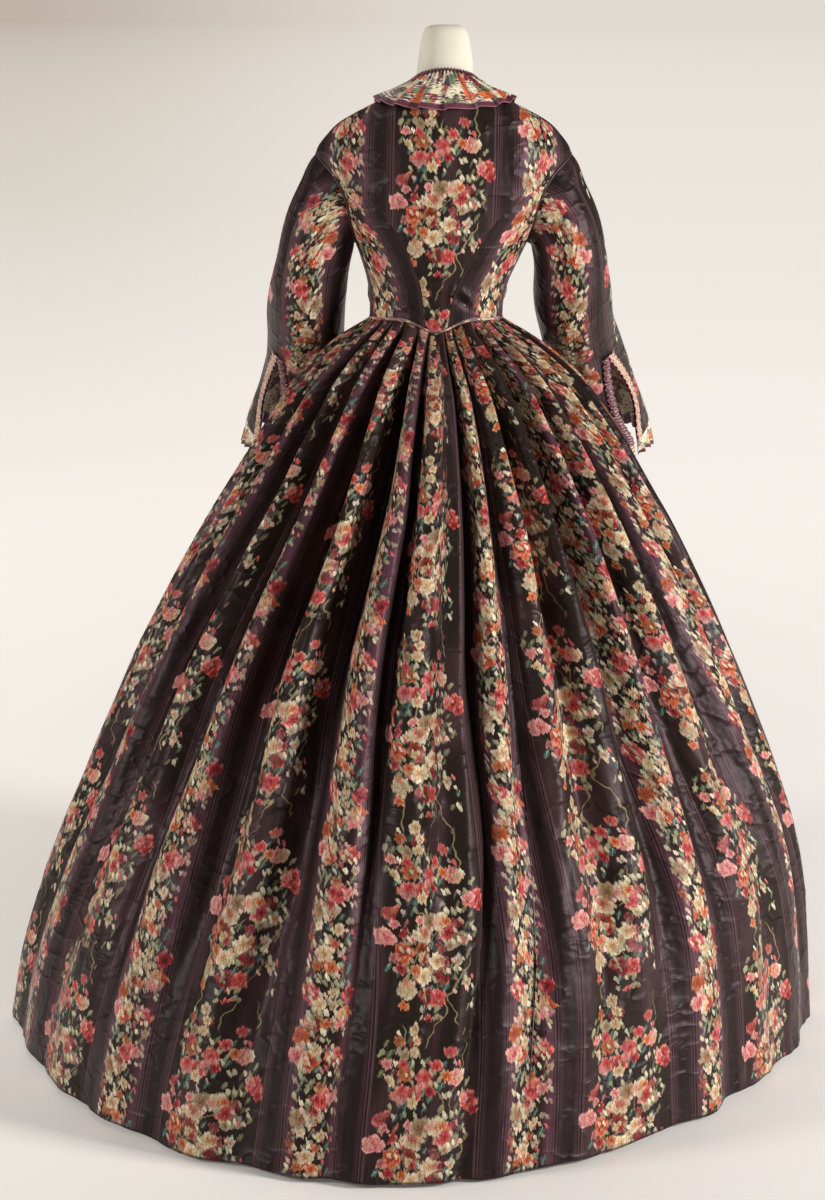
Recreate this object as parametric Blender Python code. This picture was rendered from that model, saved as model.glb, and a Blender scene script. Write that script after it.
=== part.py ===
# Afternoon dress of striped floral silk: a tight bodice with a pointed waist, open bell
# sleeves, a flat frilled collar and a full pleated skirt of seven breadths, worn by a
# limbless dress form on a round stand.
# Metres, +Z up. The wearer faces -Y, so +X is the wearer's left side.
# A turn is an angle round the body in degrees: 0 at the centre back, 90 at the wearer's
# left side and 180 at the centre front.

import math

import bmesh
import bpy
from mathutils import Vector


def table(columns, rows):
    return [dict(zip(columns.split(), row)) for row in rows]


# Cloth
CLOTH_WALL = 0.0015
SEAM_GAP = 0.0003
EDGE_GAP = 0.0009
CORD_RADIUS = 0.0016

# Body
AXIS_Y = -0.103
WAIST_LEVEL = 1.058
WAIST_RISE_BACK = 0.0065
POINT_BACK = 0.020
POINT_FRONT = 0.030
POINT_WIDTH = 0.033
POINT_FADE_BODICE = 1.13
POINT_FADE_SKIRT = 0.93
NECK_LEVEL = 1.41
NECK_DROP = 0.040
NECK_DROP_FROM = 1.33

LEAN = table("height x", [
    (0.00, 0.000), (0.10, -0.005), (0.30, -0.025), (0.60, -0.034), (0.95, -0.041),
    (1.06, -0.036), (1.16, -0.043), (1.30, -0.047), (1.42, -0.049),
])

# Half width and reach behind and in front of the axis, at each level of the bodice
BODICE = table("height side back front", [
    (1.058, 0.1000, 0.0830, 0.105),
    (1.080, 0.1005, 0.0840, 0.107),
    (1.110, 0.1060, 0.0880, 0.114),
    (1.140, 0.1170, 0.0940, 0.125),
    (1.165, 0.1275, 0.0980, 0.137),
    (1.200, 0.1500, 0.1015, 0.148),
    (1.235, 0.1650, 0.1040, 0.149),
    (1.266, 0.1770, 0.1035, 0.139),
    (1.300, 0.1890, 0.0980, 0.112),
    (1.330, 0.1690, 0.0900, 0.098),
    (1.360, 0.1390, 0.0775, 0.084),
    (1.385, 0.1050, 0.0660, 0.071),
    (1.410, 0.0600, 0.0535, 0.057),
])
WAIST_LEVELS = [1.058, 1.080, 1.110, 1.140]
SHOULDER_LEVELS = [1.330, 1.360, 1.385, 1.410]
SIDE_BACK_SEAM = table("height turn", [
    (1.058, 9.5), (1.110, 14.5), (1.165, 25.0), (1.199, 30.0), (1.2325, 43.0), (1.2663, 63.2),
])
SHOULDER_SEAM = table("height turn", [
    (1.300, 90.0), (1.330, 84.0), (1.360, 80.0), (1.385, 78.0), (1.410, 76.0),
])
ARMHOLE_MIDDLE = 1.2325
ARMHOLE_HALF = 0.0675
ARMHOLE_TURN = 30.0
ARMHOLE_STEPS = 12
PIPING_INSET = CORD_RADIUS + 2 * SEAM_GAP

# Skirt: the ridge line of the folds, with the fold depth and how far the cloth gathers
# towards the centre back
SKIRT = table("height side back front middle fold gather", [
    (0.004, 0.615, 0.775, 0.520, 0.050, 0.010, 0.00),
    (0.120, 0.601, 0.757, 0.498, 0.062, 0.015, 0.00),
    (0.280, 0.564, 0.705, 0.445, 0.080, 0.025, 0.00),
    (0.470, 0.490, 0.612, 0.368, 0.090, 0.038, 0.02),
    (0.660, 0.403, 0.498, 0.278, 0.100, 0.047, 0.05),
    (0.820, 0.315, 0.388, 0.208, 0.100, 0.050, 0.10),
    (0.930, 0.246, 0.292, 0.162, 0.078, 0.043, 0.15),
    (0.995, 0.194, 0.217, 0.136, 0.048, 0.033, 0.18),
    (1.034, 0.143, 0.145, 0.117, 0.014, 0.018, 0.20),
    (1.058, 0.1013, 0.0843, 0.1063, 0.000, 0.0020, 0.22),
])
# The back runs out a little towards the wearer's left, and to a blunt point
TRAIN_SWAY = 0.034
TRAIN_POINT = 0.11
SKIRT_BREADTHS = 7
FIRST_SEAM_TURN = -17.5
COLUMN_TURN = 2.9
FOLD_SHARPNESS = 2.4
# Each fold starts at the turn of its ridge, and its valley lies before the next ridge
FOLDS = table("ridge valley depth", [
    (-70.0, -62.0, 0.75), (-55.7, -50.0, 0.75), (-45.0, -39.0, 1.00), (-33.7, -28.0, 0.85),
    (-23.5, -17.0, 0.55), (-13.0, -9.2, 0.90), (-6.2, -2.0, 0.15), (1.6, 7.6, 0.80),
    (11.0, 19.5, 1.45), (27.0, 34.0, 1.20), (41.0, 47.0, 0.80), (53.4, 61.0, 0.95),
    (68.0, 75.0, 0.80), (81.0, 88.0, 0.90), (94.0, 101.0, 0.80), (107.0, 113.0, 0.95),
    (120.0, 126.5, 0.75), (132.0, 138.0, 0.90), (144.0, 151.0, 0.70), (156.0, 162.0, 0.85),
    (168.0, 174.0, 0.70), (180.0, 187.0, 0.80), (192.0, 198.0, 0.90), (204.0, 210.0, 0.70),
    (216.0, 223.0, 0.90), (229.0, 235.0, 0.80), (242.0, 249.0, 0.95), (255.0, 261.0, 0.75),
    (268.0, 274.0, 0.90), (279.0, 284.0, 0.80),
])

# Sleeve rings from the armhole to the mouth: centre out from the body's middle line,
# behind the axis and up, half width across and fore to aft, and the slope of the line
# across. Both sleeves swing a little towards -X.
SLEEVE = table("ring out behind up across deep slope swing", [
    (0, 0.158, 0.000, 1.2340, 0.0720, 0.052, 65.0, 0.000),
    (1, 0.172, 0.000, 1.2080, 0.0620, 0.055, 50.0, -0.001),
    (2, 0.184, -0.002, 1.1780, 0.0570, 0.058, 30.0, -0.002),
    (3, 0.193, -0.010, 1.1380, 0.0555, 0.060, 14.0, -0.003),
    (4, 0.200, -0.032, 1.0850, 0.0585, 0.062, 3.0, -0.005),
    (5, 0.207, -0.078, 1.0350, 0.0590, 0.063, 0.0, -0.009),
    (6, 0.216, -0.123, 0.9920, 0.0600, 0.063, 0.0, -0.012),
    (7, 0.224, -0.158, 0.9500, 0.0650, 0.066, 0.0, -0.014),
    (8, 0.232, -0.184, 0.9080, 0.0710, 0.071, 0.0, -0.015),
    (9, 0.241, -0.212, 0.8680, 0.0770, 0.076, 0.0, -0.015),
])
LAST_RING = SLEEVE[-1]["ring"]
SLEEVE_STEP = 15.0
OUTER_SEAM = 45.0
INNER_SEAM = 195.0
SLIT_TOP = 5.5
SLIT_WIDEST = 7.6
SLIT_HALF = 0.022
SLIT_HALF_AT_MOUTH = 0.012
TRIM_WIDTH = 0.012
TRIM_WALL = 0.0012
TRIM_RIBS = 11
CHORD_ROOM = 0.0009
TRIM_RIB_HEIGHT = 0.0016
FRILL_WAVES = 14
FRILL_DROP = 0.028
FRILL_WAVE = 0.004

# Collar
COLLAR_PLEATS = 20
COLLAR_TOP_RADIUS = 0.0465
COLLAR_TOP = 1.424
COLLAR_EDGE_SIDE = 1.388
COLLAR_EDGE_DROP = 0.024
COLLAR_LIFT = 0.0027
COLLAR_PLEAT = 0.0045

# Dress form and stand
FORM_SIDES = 24
FORM_BOTTOM = 0.80
FORM_SEAT = 0.0004
FORM_SHOULDER = 0.135
FORM_SHOULDER_GIVE = 0.016
FORM_EASE = table("height ease", [
    (1.058, 0.0014), (1.080, 0.0014), (1.100, 0.0030), (1.165, 0.0050), (1.280, 0.0050),
    (1.330, 0.0030), (1.385, 0.0026), (1.410, 0.0020),
])
FORM_HIPS = table("height side back front", [
    (0.800, 0.150, 0.106, 0.092), (0.860, 0.155, 0.110, 0.092), (0.930, 0.146, 0.104, 0.090),
    (0.995, 0.118, 0.090, 0.089), (1.030, 0.0985, 0.0775, 0.0920), (1.046, 0.0955, 0.0770, 0.0975),
])
NECK = table("height radius drop", [
    (1.420, 0.0428, 0.036), (1.440, 0.0405, 0.020), (1.473, 0.0335, 0.000), (1.481, 0.0300, 0.000),
    (1.485, 0.0220, 0.000),
])
POLE_RADIUS = 0.0125
BASE_RADIUS = 0.19
BASE_HEIGHT = 0.014
HUB_RADIUS = 0.035
HUB_HEIGHT = 0.030
ROUND_SIDES = 24


def value(rows, column, at):
    """One column of a table at a height between its rows, on a smooth curve."""
    key = next(iter(rows[0]))
    xs = [row[key] for row in rows]
    ys = [row[column] for row in rows]
    if at <= xs[0]:
        return ys[0]
    if at >= xs[-1]:
        return ys[-1]
    i = max(k for k in range(len(xs) - 1) if xs[k] <= at)
    steps = [xs[k + 1] - xs[k] for k in range(len(xs) - 1)]
    rates = [(ys[k + 1] - ys[k]) / steps[k] for k in range(len(steps))]

    def slope(k):
        if k == 0:
            return rates[0]
        if k == len(steps):
            return rates[-1]
        return (rates[k - 1] * steps[k] + rates[k] * steps[k - 1]) / (steps[k - 1] + steps[k])

    h = steps[i]
    t = (at - xs[i]) / h
    return (
        (2 * t**3 - 3 * t**2 + 1) * ys[i]
        + (t**3 - 2 * t**2 + t) * h * slope(i)
        + (-2 * t**3 + 3 * t**2) * ys[i + 1]
        + (t**3 - t**2) * h * slope(i + 1)
    )


def ease(t):
    t = min(max(t, 0.0), 1.0)
    return t * t * (3 - 2 * t)


def lean(height):
    return value(LEAN, "x", height)


def waist_shift(turn):
    """How far the waist edge lies above its level: up at the back, down at the points."""
    c = math.cos(math.radians(turn))
    across = math.sin(math.radians(turn)) * BODICE[0]["side"]
    point = math.exp(-((across / POINT_WIDTH) ** 2))
    if c >= 0:
        return WAIST_RISE_BACK * c * c - POINT_BACK * point
    return -POINT_FRONT * point


def waist_slant(turn):
    """Length of the sloping waist edge over its length seen from above."""
    edge = bodice_point(turn + 0.5, WAIST_LEVEL) - bodice_point(turn - 0.5, WAIST_LEVEL)
    return edge.length / math.hypot(edge.x, edge.y)


def neck_shift(turn, level):
    fade = ease((level - NECK_DROP_FROM) / (NECK_LEVEL - NECK_DROP_FROM))
    return -NECK_DROP * fade * (1 - math.cos(math.radians(turn))) / 2


def ring_point(turn, level, side, back, front):
    s = math.sin(math.radians(turn))
    c = math.cos(math.radians(turn))
    return Vector((lean(level) + side * s, AXIS_Y + (back if c >= 0 else front) * c, level))


def body_point(turn, level):
    point = ring_point(
        turn, level, value(BODICE, "side", level), value(BODICE, "back", level), value(BODICE, "front", level)
    )
    point.z += neck_shift(turn, level)
    return point


def bodice_point(turn, level):
    point = body_point(turn, level)
    fade = 1 - ease((level - WAIST_LEVEL) / (POINT_FADE_BODICE - WAIST_LEVEL))
    point.z += waist_shift(turn) * fade
    return point


def normal(surface, u, v, du=0.4, dv=0.002):
    """The outward normal of a surface whose u runs round and v runs up the body."""
    along = surface(u + du, v) - surface(u - du, v)
    up = surface(u, v + dv) - surface(u, v - dv)
    return up.cross(along).normalized()


def fold_at(turn):
    """Depth of the valleys at a turn, 0 on a ridge and the table's depth in a valley."""
    turn = (turn + 70.0) % 360.0 - 70.0
    ridges = FOLDS + [{"ridge": FOLDS[0]["ridge"] + 360.0}]
    i = max(k for k in range(len(FOLDS)) if ridges[k]["ridge"] <= turn + 1e-9)
    fold = FOLDS[i]
    width = ridges[i + 1]["ridge"] - fold["ridge"]
    part = min(max((turn - fold["ridge"]) / width, 0.0), 1.0)
    bend = math.log(0.5) / math.log((fold["valley"] - fold["ridge"]) / width)
    return fold["depth"] * math.sin(math.pi * part**bend) ** FOLD_SHARPNESS


def skirt_point(turn, level):
    gather = math.degrees(value(SKIRT, "gather", level)) * math.sin(math.radians(turn))
    place = turn - gather
    side = value(SKIRT, "side", level)
    middle = value(SKIRT, "middle", level)
    s = math.sin(math.radians(place))
    c = math.cos(math.radians(place))
    reach = value(SKIRT, "back", level) - middle if c >= 0 else value(SKIRT, "front", level) + middle
    out = Vector((s / side, c / reach, 0)).normalized()
    point = Vector((lean(level) + side * s, AXIS_Y + middle + reach * c, level))
    if c > 0:
        point.x += TRAIN_SWAY * c * c * (1 - level / WAIST_LEVEL)
        point.y -= TRAIN_POINT * reach * c * s * s
    point -= out * value(SKIRT, "fold", level) * fold_at(turn)
    fade = ease((level - POINT_FADE_SKIRT) / (WAIST_LEVEL - POINT_FADE_SKIRT))
    room = (2 * CORD_RADIUS + EDGE_GAP + 2 * SEAM_GAP) * waist_slant(place)
    point.z += fade * (waist_shift(place) - room)
    return point


def armhole_turn(angle):
    return 90.0 - ARMHOLE_TURN * math.sin(math.radians(angle))


def armhole_level(angle):
    return ARMHOLE_MIDDLE + ARMHOLE_HALF * math.cos(math.radians(angle))


def armhole_point(side, angle, inward):
    """A point at the armhole's edge, moved into the hole along the bodice's surface."""

    def edge(a):
        return bodice_point(side * armhole_turn(a), armhole_level(a))

    def body(u, v):
        return bodice_point(u, v)

    tangent = (edge(angle + 2) - edge(angle - 2)).normalized()
    out = normal(body, side * armhole_turn(angle), armhole_level(angle))
    into = out.cross(tangent).normalized()
    middle = (edge(0) + edge(90) + edge(180) + edge(270)) / 4
    if into.dot(middle - edge(angle)) < 0:
        into = -into
    return edge(angle) + into * inward - out * CLOTH_WALL / 2


def armhole_chord(side, angle):
    """A point on the armhole piping, which runs straight between its knots."""
    step = 360.0 / ARMHOLE_STEPS
    knot = math.floor(angle / step)
    start = armhole_point(side, step * knot, PIPING_INSET)
    end = armhole_point(side, step * (knot + 1), PIPING_INSET)
    return start.lerp(end, angle / step - knot)


def sleeve_ring(side, ring):
    return Vector((
        lean(value(SLEEVE, "up", ring)) + value(SLEEVE, "swing", ring) + side * value(SLEEVE, "out", ring),
        AXIS_Y + value(SLEEVE, "behind", ring),
        value(SLEEVE, "up", ring),
    ))


def sleeve_point(side, angle, ring):
    """Angle 0 is the outer side of the sleeve, 90 its back and 180 the side at the body."""
    centre = sleeve_ring(side, ring)
    path = (sleeve_ring(side, min(ring + 0.5, LAST_RING)) - sleeve_ring(side, max(ring - 0.5, 0.5))).normalized()
    slope = math.radians(value(SLEEVE, "slope", ring))
    across = Vector((side * math.cos(slope), 0, math.sin(slope)))
    deep = across.cross(path).normalized() * side
    a = math.radians(angle)
    point = centre + across * value(SLEEVE, "across", ring) * math.cos(a)
    point += deep * value(SLEEVE, "deep", ring) * math.sin(a)
    if ring >= 1:
        return point
    piping = armhole_chord(side, angle)
    first = sleeve_point(side, angle, 1)
    tangent = (armhole_chord(side, angle + 3) - armhole_chord(side, angle - 3)).normalized()
    away = (first - piping).normalized() + Vector((side, 0, 0)) * max(-math.cos(a), 0.0)
    away = (away - tangent * away.dot(tangent)).normalized()
    out = tangent.cross(away).normalized()
    if out.dot(piping - sleeve_ring(side, 0)) < 0:
        out = -out
    start = piping + away * (CORD_RADIUS + 2 * SEAM_GAP) + out * CLOTH_WALL / 2
    return start.lerp(first, max(ring, 0.0))


def sleeve_normal(side, angle, ring):
    def surface(u, v):
        return sleeve_point(side, u, v)

    low = max(ring - 0.1, 0.0)
    high = min(ring + 0.1, LAST_RING)
    around = surface(angle + 3, ring) - surface(angle - 3, ring)
    along = surface(angle, high) - surface(angle, low)
    out = around.cross(along).normalized()
    return -out if out.dot(surface(angle, ring) - sleeve_ring(side, ring)) < 0 else out


def slit_half(ring):
    """Half the width of the open part of the outer seam, along the cloth."""
    if ring <= SLIT_TOP:
        return SEAM_GAP / 2
    if ring <= SLIT_WIDEST:
        return SLIT_HALF * math.sin(math.pi / 2 * (ring - SLIT_TOP) / (SLIT_WIDEST - SLIT_TOP)) + SEAM_GAP / 2
    part = (ring - SLIT_WIDEST) / (LAST_RING - SLIT_WIDEST)
    return SLIT_HALF + (SLIT_HALF_AT_MOUTH - SLIT_HALF) * ease(part)


def to_angle(distance, ring):
    return math.degrees(distance / value(SLEEVE, "across", ring))


def make_material(name, colour, roughness, metallic=0.0):
    material = bpy.data.materials.new(name)
    material.use_nodes = True
    shader = material.node_tree.nodes["Principled BSDF"]
    shader.inputs["Base Color"].default_value = (*colour, 1)
    shader.inputs["Roughness"].default_value = roughness
    shader.inputs["Metallic"].default_value = metallic
    return material


def make_object(name, mesh_builder, material):
    mesh = bpy.data.meshes.new(name)
    built = bmesh.new()
    mesh_builder(built)
    bmesh.ops.recalc_face_normals(built, faces=built.faces)
    if built.calc_volume(signed=True) < 0:
        bmesh.ops.reverse_faces(built, faces=built.faces)
    built.to_mesh(mesh)
    built.free()
    mesh.materials.append(material)
    mesh.shade_smooth()
    mesh.set_sharp_from_angle(angle=math.radians(50))
    piece = bpy.data.objects.new(name, mesh)
    bpy.context.scene.collection.objects.link(piece)
    return piece


def cloth(name, grid, material, wall=CLOTH_WALL):
    """A sheet of even thickness. The grid's rows hold (outer point, outward normal)."""

    def build(built):
        outer = [[built.verts.new(point) for point, _ in row] for row in grid]
        inner = [[built.verts.new(point - out * wall) for point, out in row] for row in grid]
        rows = len(grid)
        columns = len(grid[0])
        for layer in (outer, inner):
            for i in range(rows - 1):
                for j in range(columns - 1):
                    built.faces.new((layer[i][j], layer[i + 1][j], layer[i + 1][j + 1]))
                    built.faces.new((layer[i][j], layer[i + 1][j + 1], layer[i][j + 1]))
        for i in range(rows - 1):
            for j in (0, columns - 1):
                built.faces.new((outer[i][j], outer[i + 1][j], inner[i + 1][j], inner[i][j]))
        for j in range(columns - 1):
            for i in (0, rows - 1):
                built.faces.new((outer[i][j], outer[i][j + 1], inner[i][j + 1], inner[i][j]))

    return make_object(name, build, material)


def rings_solid(name, rings, material):
    """A solid through rings of points, with flat ends."""

    def build(built):
        loops = [[built.verts.new(point) for point in ring] for ring in rings]
        for low, high in zip(loops, loops[1:]):
            for j in range(len(low)):
                k = (j + 1) % len(low)
                built.faces.new((low[j], low[k], high[k], high[j]))
        built.faces.new(loops[0])
        built.faces.new(loops[-1])

    return make_object(name, build, material)


def cord(name, points, closed, material):
    data = bpy.data.curves.new(name, "CURVE")
    data.dimensions = "3D"
    data.bevel_depth = CORD_RADIUS
    data.bevel_resolution = 1
    data.use_fill_caps = not closed
    spline = data.splines.new("POLY")
    spline.points.add(len(points) - 1)
    for knot, point in zip(spline.points, points):
        knot.co = (*point, 1)
    spline.use_cyclic_u = closed
    data.materials.append(material)
    piece = bpy.data.objects.new(name, data)
    bpy.context.scene.collection.objects.link(piece)
    return piece


def body_grid(surface, side, levels, edges, columns, gaps):
    """Rows of a bodice piece between two edges given as turns, less half a seam gap."""
    grid = []
    for level in levels:
        first, last = edges(level)
        speed = (surface(side * first + 0.5, level) - surface(side * first - 0.5, level)).length
        first += gaps[0] * SEAM_GAP / 2 / speed
        speed = (surface(side * last + 0.5, level) - surface(side * last - 0.5, level)).length
        last -= gaps[1] * SEAM_GAP / 2 / speed
        row = []
        for j in range(columns + 1):
            turn = side * (first + (last - first) * j / columns)
            row.append((surface(turn, level), normal(surface, turn, level)))
        grid.append(row)
    return grid


def armhole_edge(level, sign):
    lift = min(max((level - ARMHOLE_MIDDLE) / ARMHOLE_HALF, -1.0), 1.0)
    return 90.0 + sign * ARMHOLE_TURN * math.sqrt(1 - lift * lift)


def armhole_levels():
    half = ARMHOLE_STEPS // 2
    return [armhole_level(180.0 - 180.0 * k / half) for k in range(half + 1)]


def back_edge(level):
    if level <= SIDE_BACK_SEAM[-1]["height"] + 1e-6:
        return value(SIDE_BACK_SEAM, "turn", level)
    if level <= ARMHOLE_MIDDLE + ARMHOLE_HALF + 1e-6:
        return armhole_edge(level, -1)
    return value(SHOULDER_SEAM, "turn", level)


def under_arm_edge(level):
    return 90.0 if level <= armhole_level(180.0) + 1e-6 else armhole_edge(level, -1)


def front_edge(level):
    if level <= armhole_level(180.0) + 1e-6:
        return 90.0
    if level < armhole_level(0.0) - 1e-6:
        return armhole_edge(level, 1)
    return value(SHOULDER_SEAM, "turn", level)


def make_bodice(silk):
    levels = WAIST_LEVELS + armhole_levels() + SHOULDER_LEVELS
    low_levels = [level for level in levels if level <= SIDE_BACK_SEAM[-1]["height"] + 0.001]
    cloth("bodice_back", body_grid(bodice_point, 1, levels, lambda l: (-back_edge(l), back_edge(l)), 10, (1, 1)), silk)
    for side, word in ((1, "left"), (-1, "right")):
        cloth(
            f"bodice_side_back_{word}",
            body_grid(bodice_point, side, low_levels, lambda l: (back_edge(l), under_arm_edge(l)), 6, (1, 1)),
            silk,
        )
        cloth(
            f"bodice_front_{word}",
            body_grid(bodice_point, side, levels, lambda l: (front_edge(l), 180.0), 9, (1, 1)),
            silk,
        )


def make_waist_piping(silk):
    near = [4.0 * k for k in range(-9, 10)]
    far = [36.0 + 11.0 * k for k in range(1, 11)] + [151.0, 156.0, 161.0, 166.0, 171.0, 175.0, 178.6]
    turns = [-turn for turn in reversed(far)] + near + far
    points = []
    for turn in turns:
        out = normal(bodice_point, turn, WAIST_LEVEL + 0.002)
        point = bodice_point(turn, WAIST_LEVEL) - out * CLOTH_WALL / 2
        point.z -= (EDGE_GAP + CORD_RADIUS) * waist_slant(turn)
        points.append(point)
    cord("waist_piping", points, False, silk)


def make_armhole_pipings(silk):
    for side, word in ((1, "left"), (-1, "right")):
        points = [
            armhole_point(side, 360.0 * k / ARMHOLE_STEPS, PIPING_INSET)
            for k in range(ARMHOLE_STEPS)
        ]
        cord(f"armhole_piping_{word}", points, True, silk)


def skirt_columns(seams):
    """Turns of the skirt's columns: the seams, and evenly spaced ones in each fold."""
    turns = []
    for i, fold in enumerate(FOLDS):
        start = fold["ridge"]
        end = FOLDS[i + 1]["ridge"] if i + 1 < len(FOLDS) else FOLDS[0]["ridge"] + 360.0
        count = max(4, round((end - start) / COLUMN_TURN))
        turns += [start + (end - start) * k / count for k in range(count)]
    turns = [(turn - seams[0]) % 360.0 + seams[0] for turn in turns]
    clear = COLUMN_TURN / 2
    return sorted(seams + [turn for turn in turns if all(abs(turn - seam) > clear for seam in seams)])


def crease_normal(before, point, after, below, above):
    """The outward normal at a point of a folded sheet, halfway between its neighbouring faces."""
    along = (point - before).normalized() + (after - point).normalized()
    return (above - below).cross(along).normalized()


def make_skirt(silk):
    width = 360.0 / SKIRT_BREADTHS
    seams = [FIRST_SEAM_TURN + width * breadth for breadth in range(SKIRT_BREADTHS + 1)]
    turns = skirt_columns(seams)
    levels = [row["height"] for row in reversed(SKIRT)]
    points = [[skirt_point(turn, level) for turn in turns] for level in levels]
    for breadth in range(SKIRT_BREADTHS):
        first = turns.index(seams[breadth])
        last = turns.index(seams[breadth + 1])
        grid = []
        for i, around in enumerate(points):
            row = []
            for j in range(first, last + 1):
                before = around[j - 1] if j > 0 else around[-2]
                after = around[j + 1] if j + 1 < len(turns) else around[1]
                above = points[max(i - 1, 0)][j]
                below = points[min(i + 1, len(levels) - 1)][j]
                shift = {first: SEAM_GAP / 2, last: -SEAM_GAP / 2}.get(j, 0.0)
                out = crease_normal(before, around[j], after, below, above)
                row.append((around[j] + (after - before).normalized() * shift, out))
            grid.append(row)
        cloth(f"skirt_breadth_{breadth + 1}", grid, silk)


def sleeve_grid(side, rows, edges, columns):
    grid = []
    for ring in rows:
        first, last = edges(ring)
        row = []
        for j in range(columns + 1):
            angle = first + (last - first) * j / columns
            row.append((sleeve_point(side, angle, ring), sleeve_normal(side, angle, ring)))
        grid.append(row)
    return grid


def make_sleeves(silk):
    rows = [0, 1, 2, 3, 4, 5, SLIT_TOP, 6, 7, 8, 9]
    for side, word in ((1, "left"), (-1, "right")):

        def upper(ring):
            gap = to_angle(SEAM_GAP / 2, ring)
            return (INNER_SEAM - 360.0 + gap, OUTER_SEAM - to_angle(slit_half(ring), ring))

        def under(ring):
            gap = to_angle(SEAM_GAP / 2, ring)
            return (OUTER_SEAM + to_angle(slit_half(ring), ring), INNER_SEAM - gap)

        front = round((OUTER_SEAM - INNER_SEAM + 360.0) / SLEEVE_STEP)
        back = round((INNER_SEAM - OUTER_SEAM) / SLEEVE_STEP)
        cloth(f"sleeve_upper_{word}", sleeve_grid(side, rows, upper, front), silk)
        cloth(f"sleeve_under_{word}", sleeve_grid(side, rows, under, back), silk)


def make_sleeve_trims(trim):
    """Ruched bands along both edges of the open seam."""
    top = SLIT_TOP - 0.15
    steps = TRIM_RIBS * 2
    for side, word in ((1, "left"), (-1, "right")):
        for sign, place in ((-1, "front"), (1, "back")):
            grid = []
            for k in range(steps + 1):
                ring = top + (LAST_RING - top) * k / steps
                rib = TRIM_RIB_HEIGHT if k % 2 else 0.0
                row = []
                for part in (0.0, 0.5, 1.0):
                    away = slit_half(ring) + SEAM_GAP + TRIM_WIDTH * part
                    angle = OUTER_SEAM + sign * to_angle(away, ring)
                    out = sleeve_normal(side, angle, ring)
                    crown = rib if part == 0.5 else 0.0
                    lift = SEAM_GAP + TRIM_WALL + crown + CHORD_ROOM
                    row.append((sleeve_point(side, angle, ring) + out * lift, out))
                grid.append(row)
            cloth(f"sleeve_trim_{place}_{word}", grid, trim, TRIM_WALL)


def make_sleeve_frills(trim):
    count = FRILL_WAVES * 4
    for side, word in ((1, "left"), (-1, "right")):
        open_half = to_angle(SLIT_HALF_AT_MOUTH, LAST_RING)
        first = OUTER_SEAM + open_half
        last = OUTER_SEAM + 360.0 - open_half
        ends = (sleeve_ring(side, LAST_RING) - sleeve_ring(side, LAST_RING - 0.5)).normalized()
        grid = []
        for drop in (0.0, 0.4, 1.0):
            row = []
            for k in range(count + 1):
                angle = first + (last - first) * k / count
                out = sleeve_normal(side, angle, LAST_RING)
                wave = FRILL_WAVE * math.sin(2 * math.pi * FRILL_WAVES * k / count) * (0.15 + 0.85 * drop)
                point = sleeve_point(side, angle, LAST_RING) + ends * (SEAM_GAP + FRILL_DROP * drop) + out * wave
                row.append((point, out))
            grid.append(row)
        cloth(f"sleeve_frill_{word}", grid, trim, CLOTH_WALL)


def collar_point(turn, part):
    """Part 0 is the top of the collar at the neck and 1 its outer edge."""
    if part < 0:
        return collar_point(turn, 0) * 2 - collar_point(turn, -part)
    edge = COLLAR_EDGE_SIDE - COLLAR_EDGE_DROP * abs(math.cos(math.radians(turn))) ** 1.5
    top = ring_point(turn, COLLAR_TOP, COLLAR_TOP_RADIUS, COLLAR_TOP_RADIUS, COLLAR_TOP_RADIUS)
    top.x += lean(NECK_LEVEL) - lean(COLLAR_TOP)
    top.z += neck_shift(turn, NECK_LEVEL)
    first = 0.28
    level = NECK_LEVEL - (NECK_LEVEL - edge) * max(part - first, 0.0) / (1 - first)
    lift = COLLAR_LIFT + COLLAR_PLEAT * part * (0.5 - 0.5 * math.cos(math.radians(turn) * COLLAR_PLEATS))
    low = body_point(turn, level) + normal(body_point, turn, min(level, NECK_LEVEL - 0.003)) * lift
    return top.lerp(low, min(part / first, 1.0))


def make_collar(trim):
    count = COLLAR_PLEATS * 4
    grid = []
    for part in (0.0, 0.28, 0.62, 1.0):
        row = []
        for k in range(count + 1):
            turn = -179.7 + 359.4 * k / count
            around = collar_point(turn + 0.5, part) - collar_point(turn - 0.5, part)
            along = collar_point(turn, min(part + 0.05, 1.0)) - collar_point(turn, part - 0.05)
            out = along.cross(around).normalized()
            row.append((collar_point(turn, part), out if out.z > 0 else -out))
        grid.append(row)
    cloth("collar_frill", grid, trim, TRIM_WALL)


def form_ring(level):
    ring = []
    for k in range(FORM_SIDES):
        turn = 360.0 * k / FORM_SIDES
        inset = CLOTH_WALL + FORM_SEAT + value(FORM_EASE, "ease", level)
        point = body_point(turn, level) - normal(body_point, turn, min(level, NECK_LEVEL - 0.003)) * inset
        across = point.x - lean(level)
        over = abs(across) - FORM_SHOULDER
        if over > 0:
            held = FORM_SHOULDER + FORM_SHOULDER_GIVE * math.tanh(over / FORM_SHOULDER_GIVE)
            point.x = lean(level) + math.copysign(held, across)
        ring.append(point)
    return ring


def make_form(cover):
    rings = []
    for row in FORM_HIPS:
        rings.append([
            ring_point(360.0 * k / FORM_SIDES, row["height"], row["side"], row["back"], row["front"])
            for k in range(FORM_SIDES)
        ])
    for level in (1.062, 1.080, 1.110, 1.140, 1.170, 1.205, 1.240, 1.270, 1.300, 1.330, 1.360, 1.385, 1.406):
        rings.append(form_ring(level))
    for row in NECK:
        ring = []
        for k in range(FORM_SIDES):
            turn = 360.0 * k / FORM_SIDES
            point = ring_point(turn, row["height"], row["radius"], row["radius"], row["radius"])
            point.z -= row["drop"] * (1 - math.cos(math.radians(turn))) / 2
            ring.append(point)
        rings.append(ring)
    rings_solid("form_torso", rings, cover)


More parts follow.
